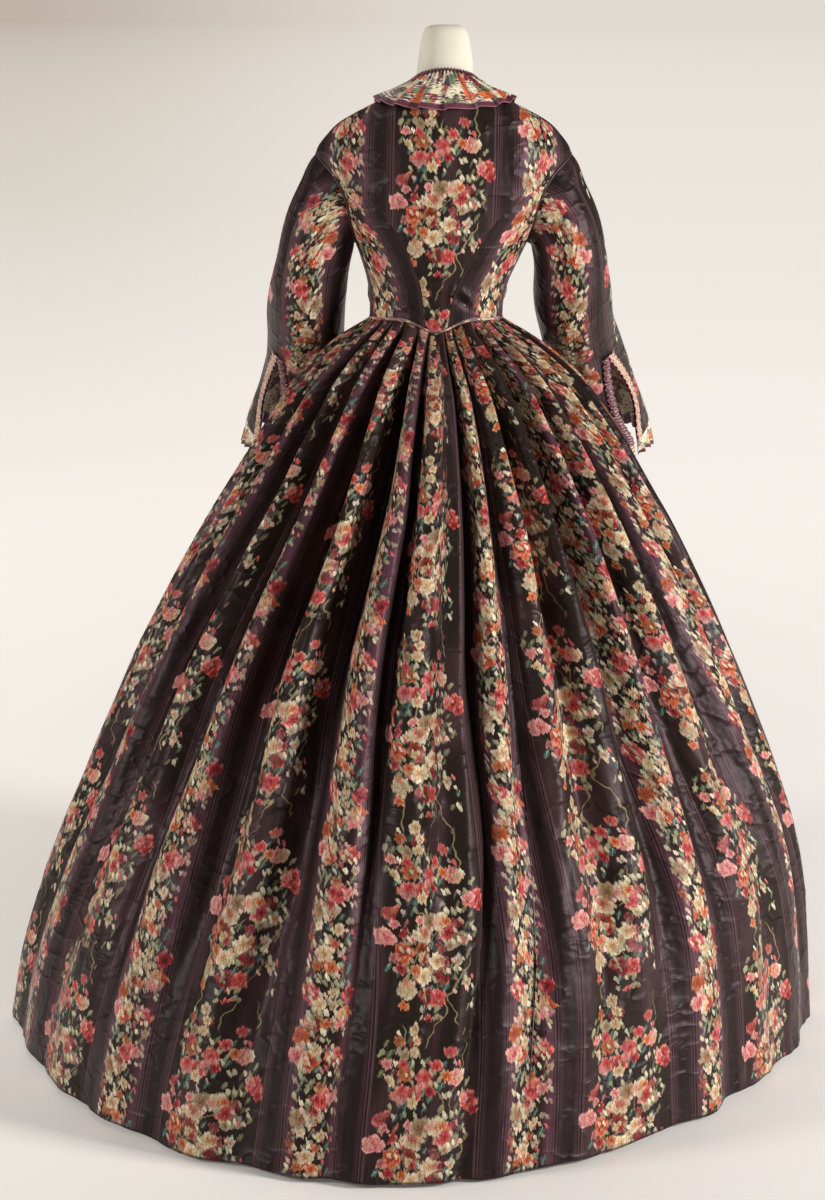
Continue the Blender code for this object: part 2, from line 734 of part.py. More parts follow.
def circle(radius, height, x):
    return [
        Vector((
            x + radius * math.cos(2 * math.pi * k / ROUND_SIDES),
            AXIS_Y + radius * math.sin(2 * math.pi * k / ROUND_SIDES),
            height,
        ))
        for k in range(ROUND_SIDES)
    ]


def make_stand(metal):
    x = lean(FORM_BOTTOM)
    rings_solid(
        "stand_base",
        [
            circle(BASE_RADIUS, 0.0, x),
            circle(BASE_RADIUS, BASE_HEIGHT * 0.6, x),
            circle(BASE_RADIUS - 0.008, BASE_HEIGHT, x),
            circle(HUB_RADIUS, BASE_HEIGHT + 0.004, x),
            circle(HUB_RADIUS * 0.8, HUB_HEIGHT, x),
        ],
        metal,
    )
    rings_solid(
        "stand_pole",
        [circle(POLE_RADIUS, HUB_HEIGHT + SEAM_GAP, x), circle(POLE_RADIUS, FORM_BOTTOM - SEAM_GAP, x)],
        metal,
    )


def centre_on_floor():
    """Moves every piece so that the middle of the whole dress's box lies over the origin."""
    bpy.context.view_layer.update()
    pieces = list(bpy.context.scene.collection.objects)
    corners = [piece.matrix_world @ Vector(corner) for piece in pieces for corner in piece.bound_box]
    for axis in (0, 1):
        middle = (min(c[axis] for c in corners) + max(c[axis] for c in corners)) / 2
        for piece in pieces:
            piece.location[axis] -= middle


def main():
    for old in list(bpy.data.objects):
        bpy.data.objects.remove(old, do_unlink=True)
    silk = make_material("silk_print", (0.17, 0.095, 0.10), 0.42)
    piping = make_material("silk_piping", (0.48, 0.27, 0.25), 0.50)
    trim = make_material("silk_trim", (0.25, 0.075, 0.12), 0.50)
    cover = make_material("form_cover", (0.82, 0.79, 0.70), 0.75)
    metal = make_material("stand_metal", (0.55, 0.55, 0.56), 0.35, 0.9)
    make_form(cover)
    make_stand(metal)
    make_bodice(silk)
    make_waist_piping(piping)
    make_armhole_pipings(piping)
    make_skirt(silk)
    make_sleeves(silk)
    make_sleeve_trims(trim)
    make_sleeve_frills(trim)
    make_collar(trim)
    centre_on_floor()


main()
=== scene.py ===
import math

import bpy
import numpy as np
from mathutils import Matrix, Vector


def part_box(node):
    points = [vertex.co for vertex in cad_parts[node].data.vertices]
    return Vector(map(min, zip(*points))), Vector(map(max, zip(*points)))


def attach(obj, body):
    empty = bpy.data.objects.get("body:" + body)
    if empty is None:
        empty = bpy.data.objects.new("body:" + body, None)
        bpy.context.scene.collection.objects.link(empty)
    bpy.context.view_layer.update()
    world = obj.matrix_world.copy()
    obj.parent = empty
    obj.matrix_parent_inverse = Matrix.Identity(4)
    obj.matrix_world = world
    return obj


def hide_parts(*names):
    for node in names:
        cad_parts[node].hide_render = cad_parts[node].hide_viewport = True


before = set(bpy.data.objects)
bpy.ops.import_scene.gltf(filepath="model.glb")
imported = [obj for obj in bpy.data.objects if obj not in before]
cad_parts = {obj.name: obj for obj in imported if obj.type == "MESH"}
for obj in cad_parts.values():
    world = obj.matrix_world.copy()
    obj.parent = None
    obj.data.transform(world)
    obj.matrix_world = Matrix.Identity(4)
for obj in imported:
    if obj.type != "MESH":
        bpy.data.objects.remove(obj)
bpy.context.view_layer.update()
print("dress: the model is loaded")

# Metres, Z up. The wearer faces -Y. A turn is an angle round the body in degrees:
# 0 at the centre back, 90 at the wearer's left side, 180 at the centre front.


def table(names, rows):
    return {name: np.array([row[k] for row in rows], float) for k, name in enumerate(names.split())}


def along(rows, column, at):
    # one column of a table at any heights, on a smooth curve through its rows
    xs = rows[next(iter(rows))]
    ys = rows[column]
    steps = np.diff(xs)
    rates = np.diff(ys) / steps
    middle = (rates[:-1] * steps[1:] + rates[1:] * steps[:-1]) / (steps[:-1] + steps[1:])
    slopes = np.concatenate([rates[:1], middle, rates[-1:]])
    at = np.clip(np.asarray(at, float), xs[0], xs[-1])
    i = np.clip(np.searchsorted(xs, at, side="right") - 1, 0, len(xs) - 2)
    h = steps[i]
    t = (at - xs[i]) / h
    start = (2 * t**3 - 3 * t**2 + 1) * ys[i] + (t**3 - 2 * t**2 + t) * h * slopes[i]
    end = (-2 * t**3 + 3 * t**2) * ys[i + 1] + (t**3 - t**2) * h * slopes[i + 1]
    return start + end


def ease(t):
    t = np.clip(t, 0.0, 1.0)
    return t * t * (3 - 2 * t)


def rising(value, start, length):
    # 0 up to `start`, 1 from `start` + `length` on
    return ease((value - start) / length)


def sine(degrees):
    return np.sin(np.radians(degrees))


def cosine(degrees):
    return np.cos(np.radians(degrees))


def unit(vectors):
    length = np.linalg.norm(vectors, axis=-1, keepdims=True)
    return vectors / np.maximum(length, 1e-12)


def turnedTo(vectors, toward):
    # each vector, or its opposite where it points away from `toward`
    same = (vectors * toward).sum(axis=-1, keepdims=True)
    return np.where(same < 0, -vectors, vectors)


def joined(x, y, z):
    return np.stack(np.broadcast_arrays(x, y, z), axis=-1).astype(float)


def softNoise(x, y, seed, around=64):
    # smooth bumps between -1 and 1, about one a unit; x repeats after `around` units
    lattice = np.random.default_rng(seed).uniform(-1, 1, (around, 64))
    xi = np.floor(x).astype(int)
    yi = np.floor(y).astype(int)
    fx = ease(x - xi)
    fy = ease(y - yi)
    low = lattice[xi % around, yi % 64] * (1 - fx) + lattice[(xi + 1) % around, yi % 64] * fx
    high = lattice[xi % around, (yi + 1) % 64] * (1 - fx) + lattice[(xi + 1) % around, (yi + 1) % 64] * fx
    return low * (1 - fy) + high * fy


def aroundNoise(turn, cell, y, seed):
    # soft noise in cells of so many degrees, which meets itself after a full turn
    return softNoise(turn / cell, y, seed, round(360 / cell))


def creased(u, v, rows):
    # soft troughs and ridges along listed lines: height at cloth points u, v
    total = np.zeros(np.broadcast(u, v).shape)
    columns = [rows[name] for name in ("u0", "v0", "u1", "v1", "width", "height")]
    for x0, y0, x1, y1, width, height in zip(*columns):
        dx = x1 - x0
        dy = y1 - y0
        part = np.clip(((u - x0) * dx + (v - y0) * dy) / (dx * dx + dy * dy), 0, 1)
        away = (u - x0 - part * dx) ** 2 + (v - y0 - part * dy) ** 2
        total += height * np.exp(-away / width**2) * np.sin(np.pi * part) ** 0.7
    return total


# Cloth as it is sewn
cloth = {
    "wall": 0.0010,
    "modelWall": 0.0015,
    "seamGap": 0.0003,
    "edgeGap": 0.0009,
    "cordRadius": 0.0016,
}

sides = ((1, "left"), (-1, "right"))

poleLow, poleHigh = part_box("stand_pole")
poleX = (poleLow.x + poleHigh.x) / 2

# Body: half width and reach behind and in front of the axis, at each level of the bodice
body = {
    "axisY": (poleLow.y + poleHigh.y) / 2,
    "waistLevel": 1.058,
    "waistRiseBack": 0.0065,
    "pointBack": 0.020,
    "pointFront": 0.030,
    "pointWidth": 0.033,
    "pointFade": 1.13,
    "neckLevel": 1.41,
    "neckDrop": 0.040,
    "neckDropFrom": 1.33,
    "lean": table("height x", [
        (0.00, 0.000), (0.10, -0.005), (0.30, -0.025), (0.60, -0.034), (0.95, -0.041),
        (1.06, -0.036), (1.16, -0.043), (1.30, -0.047), (1.42, -0.049),
    ]),
    "shape": table("height side back front", [
        (1.058, 0.1000, 0.0830, 0.105),
        (1.080, 0.1005, 0.0840, 0.107),
        (1.110, 0.1060, 0.0880, 0.114),
        (1.140, 0.1170, 0.0940, 0.125),
        (1.165, 0.1275, 0.0980, 0.137),
        (1.200, 0.1500, 0.1015, 0.148),
        (1.235, 0.1650, 0.1040, 0.149),
        (1.266, 0.1770, 0.1035, 0.139),
        (1.300, 0.1890, 0.0980, 0.112),
        (1.330, 0.1690, 0.0900, 0.098),
        (1.360, 0.1390, 0.0775, 0.084),
        (1.385, 0.1050, 0.0660, 0.071),
        (1.410, 0.0600, 0.0535, 0.057),
    ]),
}
body["x"] = poleX - float(along(body["lean"], "x", 0.80))


def lean(height):
    return body["x"] + along(body["lean"], "x", height)


def waistShift(turn):
    # up at the back, down at the points
    c = cosine(turn)
    across = sine(turn) * body["shape"]["side"][0]
    point = np.exp(-((across / body["pointWidth"]) ** 2))
    back = body["waistRiseBack"] * c * c - body["pointBack"] * point
    return np.where(c >= 0, back, -body["pointFront"] * point)


def neckShift(turn, level):
    fade = rising(level, body["neckDropFrom"], body["neckLevel"] - body["neckDropFrom"])
    return -body["neckDrop"] * fade * (1 - cosine(turn)) / 2


def ringPoint(turn, level, side, back, front):
    s = sine(turn)
    c = cosine(turn)
    return joined(lean(level) + side * s, body["axisY"] + np.where(c >= 0, back, front) * c, level)


def bodyPoint(turn, level):
    sizes = [along(body["shape"], name, level) for name in ("side", "back", "front")]
    point = ringPoint(turn, level, *sizes)
    point[..., 2] += neckShift(turn, level)
    return point


def bodicePoint(turn, level):
    point = bodyPoint(turn, level)
    fade = 1 - rising(level, body["waistLevel"], body["pointFade"] - body["waistLevel"])
    point[..., 2] += waistShift(turn) * fade
    return point


def outward(surface, u, v, du=0.4, dv=0.002):
    across = surface(u + du, v) - surface(u - du, v)
    up = surface(u, v + dv) - surface(u, v - dv)
    return unit(np.cross(up, across))


def bodyOut(turn, level):
    # the way out of the body, at the neck's edge taken just below it
    return outward(bodyPoint, turn, np.minimum(level, body["neckLevel"] - 0.003))


def waistSlant(turn):
    # length of the sloping waist edge over its length seen from above
    edge = bodicePoint(turn + 0.5, body["waistLevel"]) - bodicePoint(turn - 0.5, body["waistLevel"])
    return np.linalg.norm(edge, axis=-1) / np.hypot(edge[..., 0], edge[..., 1])


def gridNormals(points):
    across = np.gradient(points, axis=1)
    up = np.gradient(points, axis=0)
    return unit(np.cross(up, across))


def lengthUp(points):
    steps = np.linalg.norm(np.diff(points, axis=0), axis=-1)
    return np.vstack([np.zeros(points.shape[1]), np.cumsum(steps, axis=0)])


def lengthAcross(points, middle):
    # metres along each row, 0 at the column `middle`
    steps = np.linalg.norm(np.diff(points, axis=1), axis=-1)
    run = np.hstack([np.zeros((points.shape[0], 1)), np.cumsum(steps, axis=1)])
    return run - run[:, middle:middle + 1]


def openSeams(points):
    # draws both side edges in by half the gap of a seam
    points[:, 0] += unit(points[:, 1] - points[:, 0]) * cloth["seamGap"] / 2
    points[:, -1] -= unit(points[:, -1] - points[:, -2]) * cloth["seamGap"] / 2


def deselect():
    bpy.ops.object.select_all(action="DESELECT")


def activate(piece):
    deselect()
    piece.select_set(True)
    bpy.context.view_layer.objects.active = piece


def sheetMesh(name, points, u, v, wall, closed=False):
    # a sheet from rows of points, with its cloth coordinates as a UV map; rows go up
    rows, count = points.shape[:2]
    index = np.arange(rows * count).reshape(rows, count)
    right = np.roll(index, -1, axis=1) if closed else index[:, 1:]
    left = index if closed else index[:, :-1]
    faces = np.stack([left[:-1], left[1:], right[1:], right[:-1]], axis=-1).reshape(-1, 4)
    mesh = bpy.data.meshes.new(name)
    mesh.from_pydata(points.reshape(-1, 3).tolist(), [], faces.tolist())
    layer = mesh.uv_layers.new(name="cloth")
    flat = np.stack([u, v], axis=-1).reshape(-1, 2)
    layer.data.foreach_set("uv", flat[faces.reshape(-1)].reshape(-1))
    mesh.update()
    piece = bpy.data.objects.new(name, mesh)
    bpy.context.scene.collection.objects.link(piece)
    if wall:
        thick = piece.modifiers.new("wall", "SOLIDIFY")
        thick.thickness = wall
        thick.offset = -1
        activate(piece)
        bpy.ops.object.modifier_apply(modifier=thick.name)
    mesh.shade_smooth()
    mesh.set_sharp_from_angle(angle=math.radians(60))
    return piece


def dress(piece, material, slot, *nodes):
    piece.data.materials.clear()
    piece.data.materials.append(material)
    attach(piece, "root")
    if nodes:
        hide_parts(*nodes)


def flatArea(points):
    a = points[1:, 1:] - points[:-1, :-1]
    b = points[1:, :-1] - points[:-1, 1:]
    return float(np.linalg.norm(np.cross(a, b), axis=-1).sum() / 2)


# Materials. Short calls that add a node, with its inputs set or linked

def tone(red, green, blue):
    # a colour as seen, 0 to 255, as the shader wants it
    parts = [c / 255 for c in (red, green, blue)]
    return tuple(c / 12.92 if c <= 0.04045 else ((c + 0.055) / 1.055) ** 2.4 for c in parts) + (1.0,)


def node(tree, kind, inputs, **settings):
    made = tree.nodes.new(kind)
    for key, setting in settings.items():
        setattr(made, key, setting)
    for key, source in inputs.items():
        if isinstance(source, bpy.types.NodeSocket):
            tree.links.new(source, made.inputs[key])
        else:
            made.inputs[key].default_value = source
    return made


def calc(tree, operation, a, b=0.0, c=0.0, clamp=False):
    made = node(tree, "ShaderNodeMath", {0: a, 1: b, 2: c}, operation=operation, use_clamp=clamp)
    return made.outputs[0]


def times(tree, a, b):
    return calc(tree, "MULTIPLY", a, b)


def plus(tree, a, b):
    return calc(tree, "ADD", a, b)


def minus(tree, a, b):
    return calc(tree, "SUBTRACT", a, b)


def timesPlus(tree, a, b, c):
    return calc(tree, "MULTIPLY_ADD", a, b, c)


def absolute(tree, value):
    return calc(tree, "ABSOLUTE", value)


def vectorMath(tree, operation, *inputs):
    return node(tree, "ShaderNodeVectorMath", dict(enumerate(inputs)), operation=operation).outputs


def pair(tree, x, y):
    return node(tree, "ShaderNodeCombineXYZ", {0: x, 1: y}).outputs[0]


def apart(tree, vector):
    return node(tree, "ShaderNodeSeparateXYZ", {0: vector}).outputs


def blend(tree, factor, a, b, mode="MIX"):
    made = node(tree, "ShaderNodeMix", {0: factor, 6: a, 7: b}, data_type="RGBA", blend_type=mode)
    return made.outputs[2]


def step(tree, value, start, end):
    # 0 below start and 1 above end, or the other way round where start is above end
    made = node(tree, "ShaderNodeMapRange", {0: value, 1: start, 2: end}, interpolation_type="SMOOTHSTEP")
    if start > end:
        made.inputs[1].default_value = end
        made.inputs[2].default_value = start
        made.inputs[3].default_value = 1.0
        made.inputs[4].default_value = 0.0
    return made.outputs[0]


def noise(tree, vector, scale, detail=2.0, dims="2D"):
    inputs = {"Vector": vector, "Scale": scale, "Detail": detail}
    return node(tree, "ShaderNodeTexNoise", inputs, noise_dimensions=dims).outputs["Fac"]


def clothPlace(tree):
    return node(tree, "ShaderNodeUVMap", {}, uv_map="cloth").outputs[0]


def clothNoise(tree, u, v, spec):
    # spec: cells to the metre across and along the threads, and detail
    perU, perV, detail = spec
    return noise(tree, pair(tree, times(tree, u, perU), times(tree, v, perV)), 1.0, detail)


def objectPlace(tree):
    return node(tree, "ShaderNodeTexCoord", {}).outputs["Object"]


def stretched(tree, place, scale):
    return node(tree, "ShaderNodeMapping", {0: place, 3: scale}).outputs[0]


def cellsAt(tree, place, scale=1.0, random=1.0, dims="2D"):
    inputs = {"Vector": place, "Scale": scale, "Randomness": random}
    return node(tree, "ShaderNodeTexVoronoi", inputs, voronoi_dimensions=dims)


def cellNumbers(tree, cells):
    # three numbers from 0 to 1, the same all over a cell
    return node(tree, "ShaderNodeSeparateColor", {0: cells.outputs["Color"]}).outputs


def ramp(tree, value, stops, interpolation="LINEAR"):
    made = node(tree, "ShaderNodeValToRGB", {0: value})
    band = made.color_ramp
    band.interpolation = interpolation
    while len(band.elements) < len(stops):
        band.elements.new(0.5)
    for element, (place, colour) in zip(band.elements, stops):
        element.position = place
        element.color = colour
    return made.outputs[0]


def newMaterial(name, roughness, sheen=0.0, sheenTint=(1, 1, 1, 1), metallic=0.0):
    material = bpy.data.materials.new(name)
    material.use_nodes = True
    tree = material.node_tree
    shader = tree.nodes["Principled BSDF"]
    shader.inputs["Roughness"].default_value = roughness
    shader.inputs["Metallic"].default_value = metallic
    shader.inputs["Sheen Weight"].default_value = sheen
    shader.inputs["Sheen Roughness"].default_value = 0.45
    shader.inputs["Sheen Tint"].default_value = sheenTint
    return material, tree, shader


def bump(tree, shader, height, distance, strength=1.0):
    made = node(tree, "ShaderNodeBump", {"Height": height, "Distance": distance, "Strength": strength})
    tree.links.new(made.outputs[0], shader.inputs["Normal"])


# The silk: warp-printed stripes, wide ones of bouquets and narrow ones of packed small flowers,
# with plain stripes between them. Sizes in metres of cloth.
silk = {
    "period": 0.297,
    "repeat": 0.27,
    "wideHalf": 0.073,
    "narrowFrom": 0.1155,
    # where one repeat across ends in the plain stripe, and the place of the hem's edge up the cloth
    "cut": 0.094,
    "hemStart": 0.053,
    "ground": tone(37, 29, 24),
    "groundNarrow": tone(38, 28, 23),
    "plainEdge": tone(63, 44, 45),
    "plainMiddle": tone(36, 27, 25),
    "pinLight": tone(88, 64, 67),
    "pinDark": tone(15, 11, 13),
    # a mauve band at the narrow stripe's edges: partly the print's own feathered halo, partly painted sheen
    "mauveHaloAndSheen": tone(104, 64, 78),
    "stem": tone(150, 138, 98),
    "hemEdge": tone(40, 30, 34),
    "leafRib": tone(236, 222, 186),
    "leafFoot": tone(70, 56, 48),
    "petalEdge": tone(236, 206, 176),
    # how far out a narrow stripe's ground reaches, and its print
    "narrowGround": (0.0330, 0.0318),
    "narrowPrint": (0.0305, 0.0270),
    # how far inside the wide stripe's edge its print ends
    "wideInset": (0.002, 0.006),
    # chance of a tan flower in the bouquet, in a narrow stripe and elsewhere
    "tan": (0.78, 0.85, 0.34),
    # the share of the print that the faintest motifs lack
    "faintest": 0.65,
    # the plain stripe with its pin lines, from the wide stripe to the narrow one
    "plainStripe": [
        (0.0, "plainEdge"), (0.05, "pinLight"), (0.085, "pinDark"), (0.12, "plainEdge"),
        (0.145, "pinLight"), (0.17, "pinDark"), (0.205, "plainEdge"), (0.34, "plainMiddle"),
        (0.66, "plainMiddle"), (0.795, "plainEdge"), (0.83, "pinDark"), (0.855, "pinLight"),
        (0.88, "plainEdge"), (0.915, "pinDark"), (0.95, "pinLight"), (1.0, "plainEdge"),
    ],
    # noises: cells to the metre across and along the threads, and detail
    "threads": (430.0, 13.0, 1.0),
    "sway": (5.0, 6.0, 0.0),
    "grain": (260.0, 150.0, 1.0),
    # the next noise lays soft patches of painted sheen, in the plain stripe's mauve, on the wide stripe's
    # ground
    "sheenCloud": (16.0, 5.0, 2.0),
    "bend": (30.0, 42.0, 1.0),
    "gaps": (20.0, 17.0, 0.0),
    "streak": (800.0, 22.0, 0.0),
    "crumple": (26.0, 15.0, 2.0),
    "weave": (500.0, 1500.0, 0.0),
    "lines": (9.0, 16.0, 3.0),
    # stems of the wide stripe: place across, sweep to the sides, waves in a repeat and phase
    "stems": ((-0.038, 0.010, 2, 0.4), (0.030, 0.008, 1, 2.1), (-0.006, 0.012, 2, 4.0)),
    # bouquet first, then the garlands and sprigs of the wide stripe: middle and half size
    "clusters": [
        (-0.004, 0.098, 0.041, 0.040), (0.030, 0.188, 0.020, 0.050), (-0.036, 0.176, 0.013, 0.040),
        (0.006, 0.018, 0.009, 0.034), (0.044, 0.046, 0.006, 0.020), (-0.048, 0.044, 0.006, 0.026),
        (-0.056, 0.120, 0.005, 0.030), (0.058, 0.128, 0.004, 0.024), (0.000, 0.199, 0.024, 0.015),
    ],
    # a layer of motifs: its cells' width, height and slant, and the motifs' size in a cell;
    # the share of cells printed in a cluster, in its fringe, elsewhere and in the narrow stripe
    "leaves": [
        {
            "wide": 0.0092, "tall": 0.0140, "slant": 0.60, "random": 0.95, "move": 3.0,
            "size": 0.30, "vary": 0.16, "slip": 0.8,
            "core": 0.72, "fringe": 0.60, "bare": 0.02, "narrow": 0.50,
            "colours": [(0.0, tone(50, 84, 70)), (0.30, tone(96, 100, 66)), (0.50, tone(148, 146, 112)),
                        (0.68, tone(60, 100, 92)), (0.92, tone(120, 60, 64))],
        },
        {
            "wide": 0.0074, "tall": 0.0132, "slant": -0.65, "random": 0.95, "move": 11.0,
            "size": 0.27, "vary": 0.16, "slip": 0.6,
            "core": 0.34, "fringe": 0.34, "bare": 0.0, "narrow": 0.86,
            "colours": [(0.0, tone(194, 182, 146)), (0.34, tone(222, 209, 178)), (0.58, tone(152, 148, 114)),
                        (0.74, tone(222, 176, 160)), (0.88, tone(190, 76, 76))],
        },
    ],
    "flowers": [
        {
            "wide": 0.0262, "tall": 0.0262, "slant": 0.0, "random": 0.82, "move": 5.0,
            "size": 0.42, "vary": 0.14, "petals": 5.0, "slip": 0.8,
            "core": 0.78, "fringe": 0.20, "bare": 0.0, "narrow": 0.36,
            "outer": [(0.0, tone(206, 98, 96)), (0.12, tone(172, 54, 60)), (0.20, tone(218, 152, 144)),
                      (0.38, tone(196, 84, 78)), (0.50, tone(204, 180, 138)), (0.62, tone(206, 112, 62)),
                      (0.72, tone(228, 210, 176)), (0.90, tone(194, 86, 52))],
            "inner": [(0.0, tone(136, 28, 32)), (0.12, tone(88, 16, 22)), (0.20, tone(166, 60, 62)),
                      (0.38, tone(108, 22, 22)), (0.50, tone(146, 92, 50)), (0.62, tone(150, 46, 22)),
                      (0.74, tone(172, 122, 72)), (0.90, tone(122, 32, 18))],
        },
        {
            "wide": 0.0160, "tall": 0.0160, "slant": 0.0, "random": 0.90, "move": 17.0,
            "size": 0.37, "vary": 0.16, "petals": 5.0, "slip": 1.2,
            "core": 0.34, "fringe": 0.44, "bare": 0.010, "narrow": 0.42,
            "outer": [(0.0, tone(204, 92, 88)), (0.18, tone(216, 154, 142)), (0.40, tone(180, 62, 60)),
                      (0.50, tone(214, 196, 160)), (0.72, tone(208, 126, 80)), (0.86, tone(236, 222, 196))],
            "inner": [(0.0, tone(138, 32, 38)), (0.18, tone(178, 76, 80)), (0.40, tone(98, 18, 24)),
                      (0.50, tone(160, 112, 60)), (0.72, tone(156, 50, 28)), (0.86, tone(184, 130, 92))],
        },
    ],
}


def garlandGroup():
    # where the wide stripe's print gathers: 1 inside a cluster, 1 in the fringe round it,
    # and 1 inside the bouquet alone
    group = bpy.data.node_groups.new("garlands", "ShaderNodeTree")
    group.interface.new_socket(name="Place", in_out="INPUT", socket_type="NodeSocketVector")
    for name in ("Core", "Fringe", "Bouquet"):
        group.interface.new_socket(name=name, in_out="OUTPUT", socket_type="NodeSocketFloat")
    place = group.nodes.new("NodeGroupInput").outputs[0]
    out = group.nodes.new("NodeGroupOutput")
    a, b, _ = apart(group, place)
    bow = calc(group, "SINE", timesPlus(group, b, 4 * math.pi / silk["repeat"], 0.6))
    swayed = pair(group, timesPlus(group, bow, 0.007, a), b)
    nearest = None
    for x, y, halfX, halfY in silk["clusters"]:
        grown = (1 / halfX, 1 / halfY, 0)
        moved = (-x / halfX, -y / halfY, 0)
        scaled = vectorMath(group, "MULTIPLY_ADD", swayed, grown, moved)[0]
        far = vectorMath(group, "LENGTH", scaled)["Value"]
        if nearest is None:
            group.links.new(step(group, far, 1.25, 1.05), out.inputs["Bouquet"])
            nearest = far
        nearest = calc(group, "MINIMUM", nearest, far)
    group.links.new(step(group, nearest, 1.15, 0.95), out.inputs["Core"])
    group.links.new(step(group, nearest, 1.75, 1.25), out.inputs["Fringe"])
    return group


def printCells(tree, at, garland, spec):
    # a slanted, jittered net of cells: the way from each motif's middle, three numbers for it,
    # where it shows, and a number for its colour, under a half coral, above it tan
    slant, wide, tall = spec["slant"], spec["wide"], spec["tall"]
    x, y, _ = apart(tree, at)
    up = calc(tree, "DIVIDE", y, tall)
    across = timesPlus(tree, up, slant, calc(tree, "DIVIDE", x, wide))
    here = pair(tree, plus(tree, across, spec["move"]), up)
    cells = cellsAt(tree, here, 1.0, spec["random"])
    middle = cells.outputs["Position"]
    cellX, cellY, _ = apart(tree, middle)
    cellX = minus(tree, minus(tree, cellX, spec["move"]), times(tree, cellY, slant))
    a = times(tree, cellX, wide)
    place = pair(tree, a, times(tree, cellY, tall))
    local = vectorMath(tree, "SUBTRACT", here, middle)[0]
    random = cellNumbers(tree, cells)

    # where the motifs gather
    near = node(tree, "ShaderNodeGroup", {0: place}, node_tree=garland).outputs
    core = times(tree, near["Core"], spec["core"])
    density = calc(tree, "MAXIMUM", core, times(tree, near["Fringe"], spec["fringe"]))
    start, end = silk["wideInset"]
    inside = step(tree, absolute(tree, a), silk["wideHalf"] - start, silk["wideHalf"] - end)
    density = times(tree, calc(tree, "MAXIMUM", density, spec["bare"]), inside)
    fromNarrow = absolute(tree, plus(tree, a, silk["period"] / 2))
    narrow = step(tree, fromNarrow, *silk["narrowPrint"])
    density = calc(tree, "MAXIMUM", density, times(tree, narrow, spec["narrow"]))
    shown = calc(tree, "LESS_THAN", random[1], density)

    # some are printed so faintly that the dark ground shows through
    mixed = timesPlus(tree, random[0], 5.7, times(tree, random[2], 3.1))
    faint = calc(tree, "POWER", calc(tree, "FRACT", mixed), 1.5)
    shown = times(tree, shown, timesPlus(tree, faint, -silk["faintest"], 1.0))

    bouquet, middleTan, least = silk["tan"]
    inNarrow = times(tree, step(tree, fromNarrow, 0.030, 0.008), middleTan)
    tan = calc(tree, "MAXIMUM", times(tree, near["Bouquet"], bouquet), inNarrow)
    chance = calc(tree, "FRACT", times(tree, random[2], 7.3))
    family = calc(tree, "LESS_THAN", chance, calc(tree, "MAXIMUM", tan, least))
    index = times(tree, plus(tree, random[0], family), 0.5)
    return local, cells.outputs["Distance"], random, shown, index


def leafLayer(tree, at, garland, grain, under, spec):
    local, far, random, shown, _ = printCells(tree, at, garland, spec)
    radius = timesPlus(tree, random[2], spec["vary"], spec["size"])
    edge = plus(tree, minus(tree, far, radius), timesPlus(tree, grain, 0.42, -0.21))
    mask = times(tree, step(tree, edge, 0.03, -0.05), shown)
    # a paler rib up each leaf, and a darker foot
    x, y, _ = apart(tree, local)
    rib = step(tree, absolute(tree, x), 0.10, 0.03)
    foot = step(tree, y, 0.05, -0.42)
    colour = ramp(tree, random[0], spec["colours"], "CONSTANT")
    colour = blend(tree, times(tree, rib, 0.30), colour, silk["leafRib"])
    colour = blend(tree, times(tree, foot, 0.40), colour, silk["leafFoot"])
    return blend(tree, mask, under, colour)


def flowerLayer(tree, at, garland, grain, under, spec):
    local, far, random, shown, index = printCells(tree, at, garland, spec)
    x, y, _ = apart(tree, local)
    start = times(tree, random[2], 2 * math.pi)
    turned = timesPlus(tree, calc(tree, "ARCTAN2", y, x), spec["petals"], start)
    rough = timesPlus(tree, grain, 0.30, -0.15)
    radius = timesPlus(tree, random[2], spec["vary"], spec["size"])
    lobes = timesPlus(tree, calc(tree, "SINE", turned), 0.045, rough)
    mask = step(tree, minus(tree, far, plus(tree, radius, lobes)), 0.04, -0.075)
    mask = times(tree, mask, shown)
    # petals in rings that wind inwards, with a paler edge
    reach = calc(tree, "DIVIDE", far, radius)
    spiral = calc(tree, "SINE", timesPlus(tree, reach, -7.0, turned))
    zone = plus(tree, timesPlus(tree, spiral, 0.17, reach), times(tree, rough, 1.2))
    heart = ramp(tree, zone, [
        (0.0, (1, 1, 1, 1)), (0.24, (1, 1, 1, 1)), (0.34, (0.2, 0.2, 0.2, 1)),
        (0.46, (0.85, 0.85, 0.85, 1)), (0.58, (0.1, 0.1, 0.1, 1)), (0.72, (0.6, 0.6, 0.6, 1)),
        (0.86, (0, 0, 0, 1)),
    ])
    outer = ramp(tree, index, spec["outer"], "CONSTANT")
    colour = blend(tree, heart, outer, ramp(tree, index, spec["inner"], "CONSTANT"))
    light = times(tree, step(tree, zone, 0.80, 1.02), 0.24)
    colour = blend(tree, light, colour, silk["petalEdge"])
    return blend(tree, mask, under, colour)


def stripeGround(tree, u, v, threads, fromWide, fromNarrow, narrow):
    # grounds and plain stripes, which mirror at the middle of the narrow stripe
    period, half = silk["period"], silk["wideHalf"]
    side = absolute(tree, calc(tree, "WRAP", u, period / 2, -period / 2))
    wide = step(tree, fromWide, half, half - 0.0012)
    part = calc(tree, "DIVIDE", minus(tree, side, half), silk["narrowFrom"] - half)
    plain = ramp(tree, part, [(place, silk[name]) for place, name in silk["plainStripe"]])
    # painted sheen: soft mauve patches on the wide stripe's dark ground
    sheenCloud = clothNoise(tree, u, v, silk["sheenCloud"])
    ground = blend(tree, step(tree, sheenCloud, 0.45, 0.70), silk["ground"], silk["plainEdge"])
    colour = blend(tree, wide, plain, ground)
    # the narrow stripe's edges turn mauve: partly the print's own feathered halo, partly painted sheen
    mauveHaloAndSheen = times(tree, step(tree, fromNarrow, 0.014, 0.030), timesPlus(tree, threads, 1.1, 0.1))
    return blend(tree, narrow, colour, blend(tree, mauveHaloAndSheen, silk["groundNarrow"], silk["mauveHaloAndSheen"]))


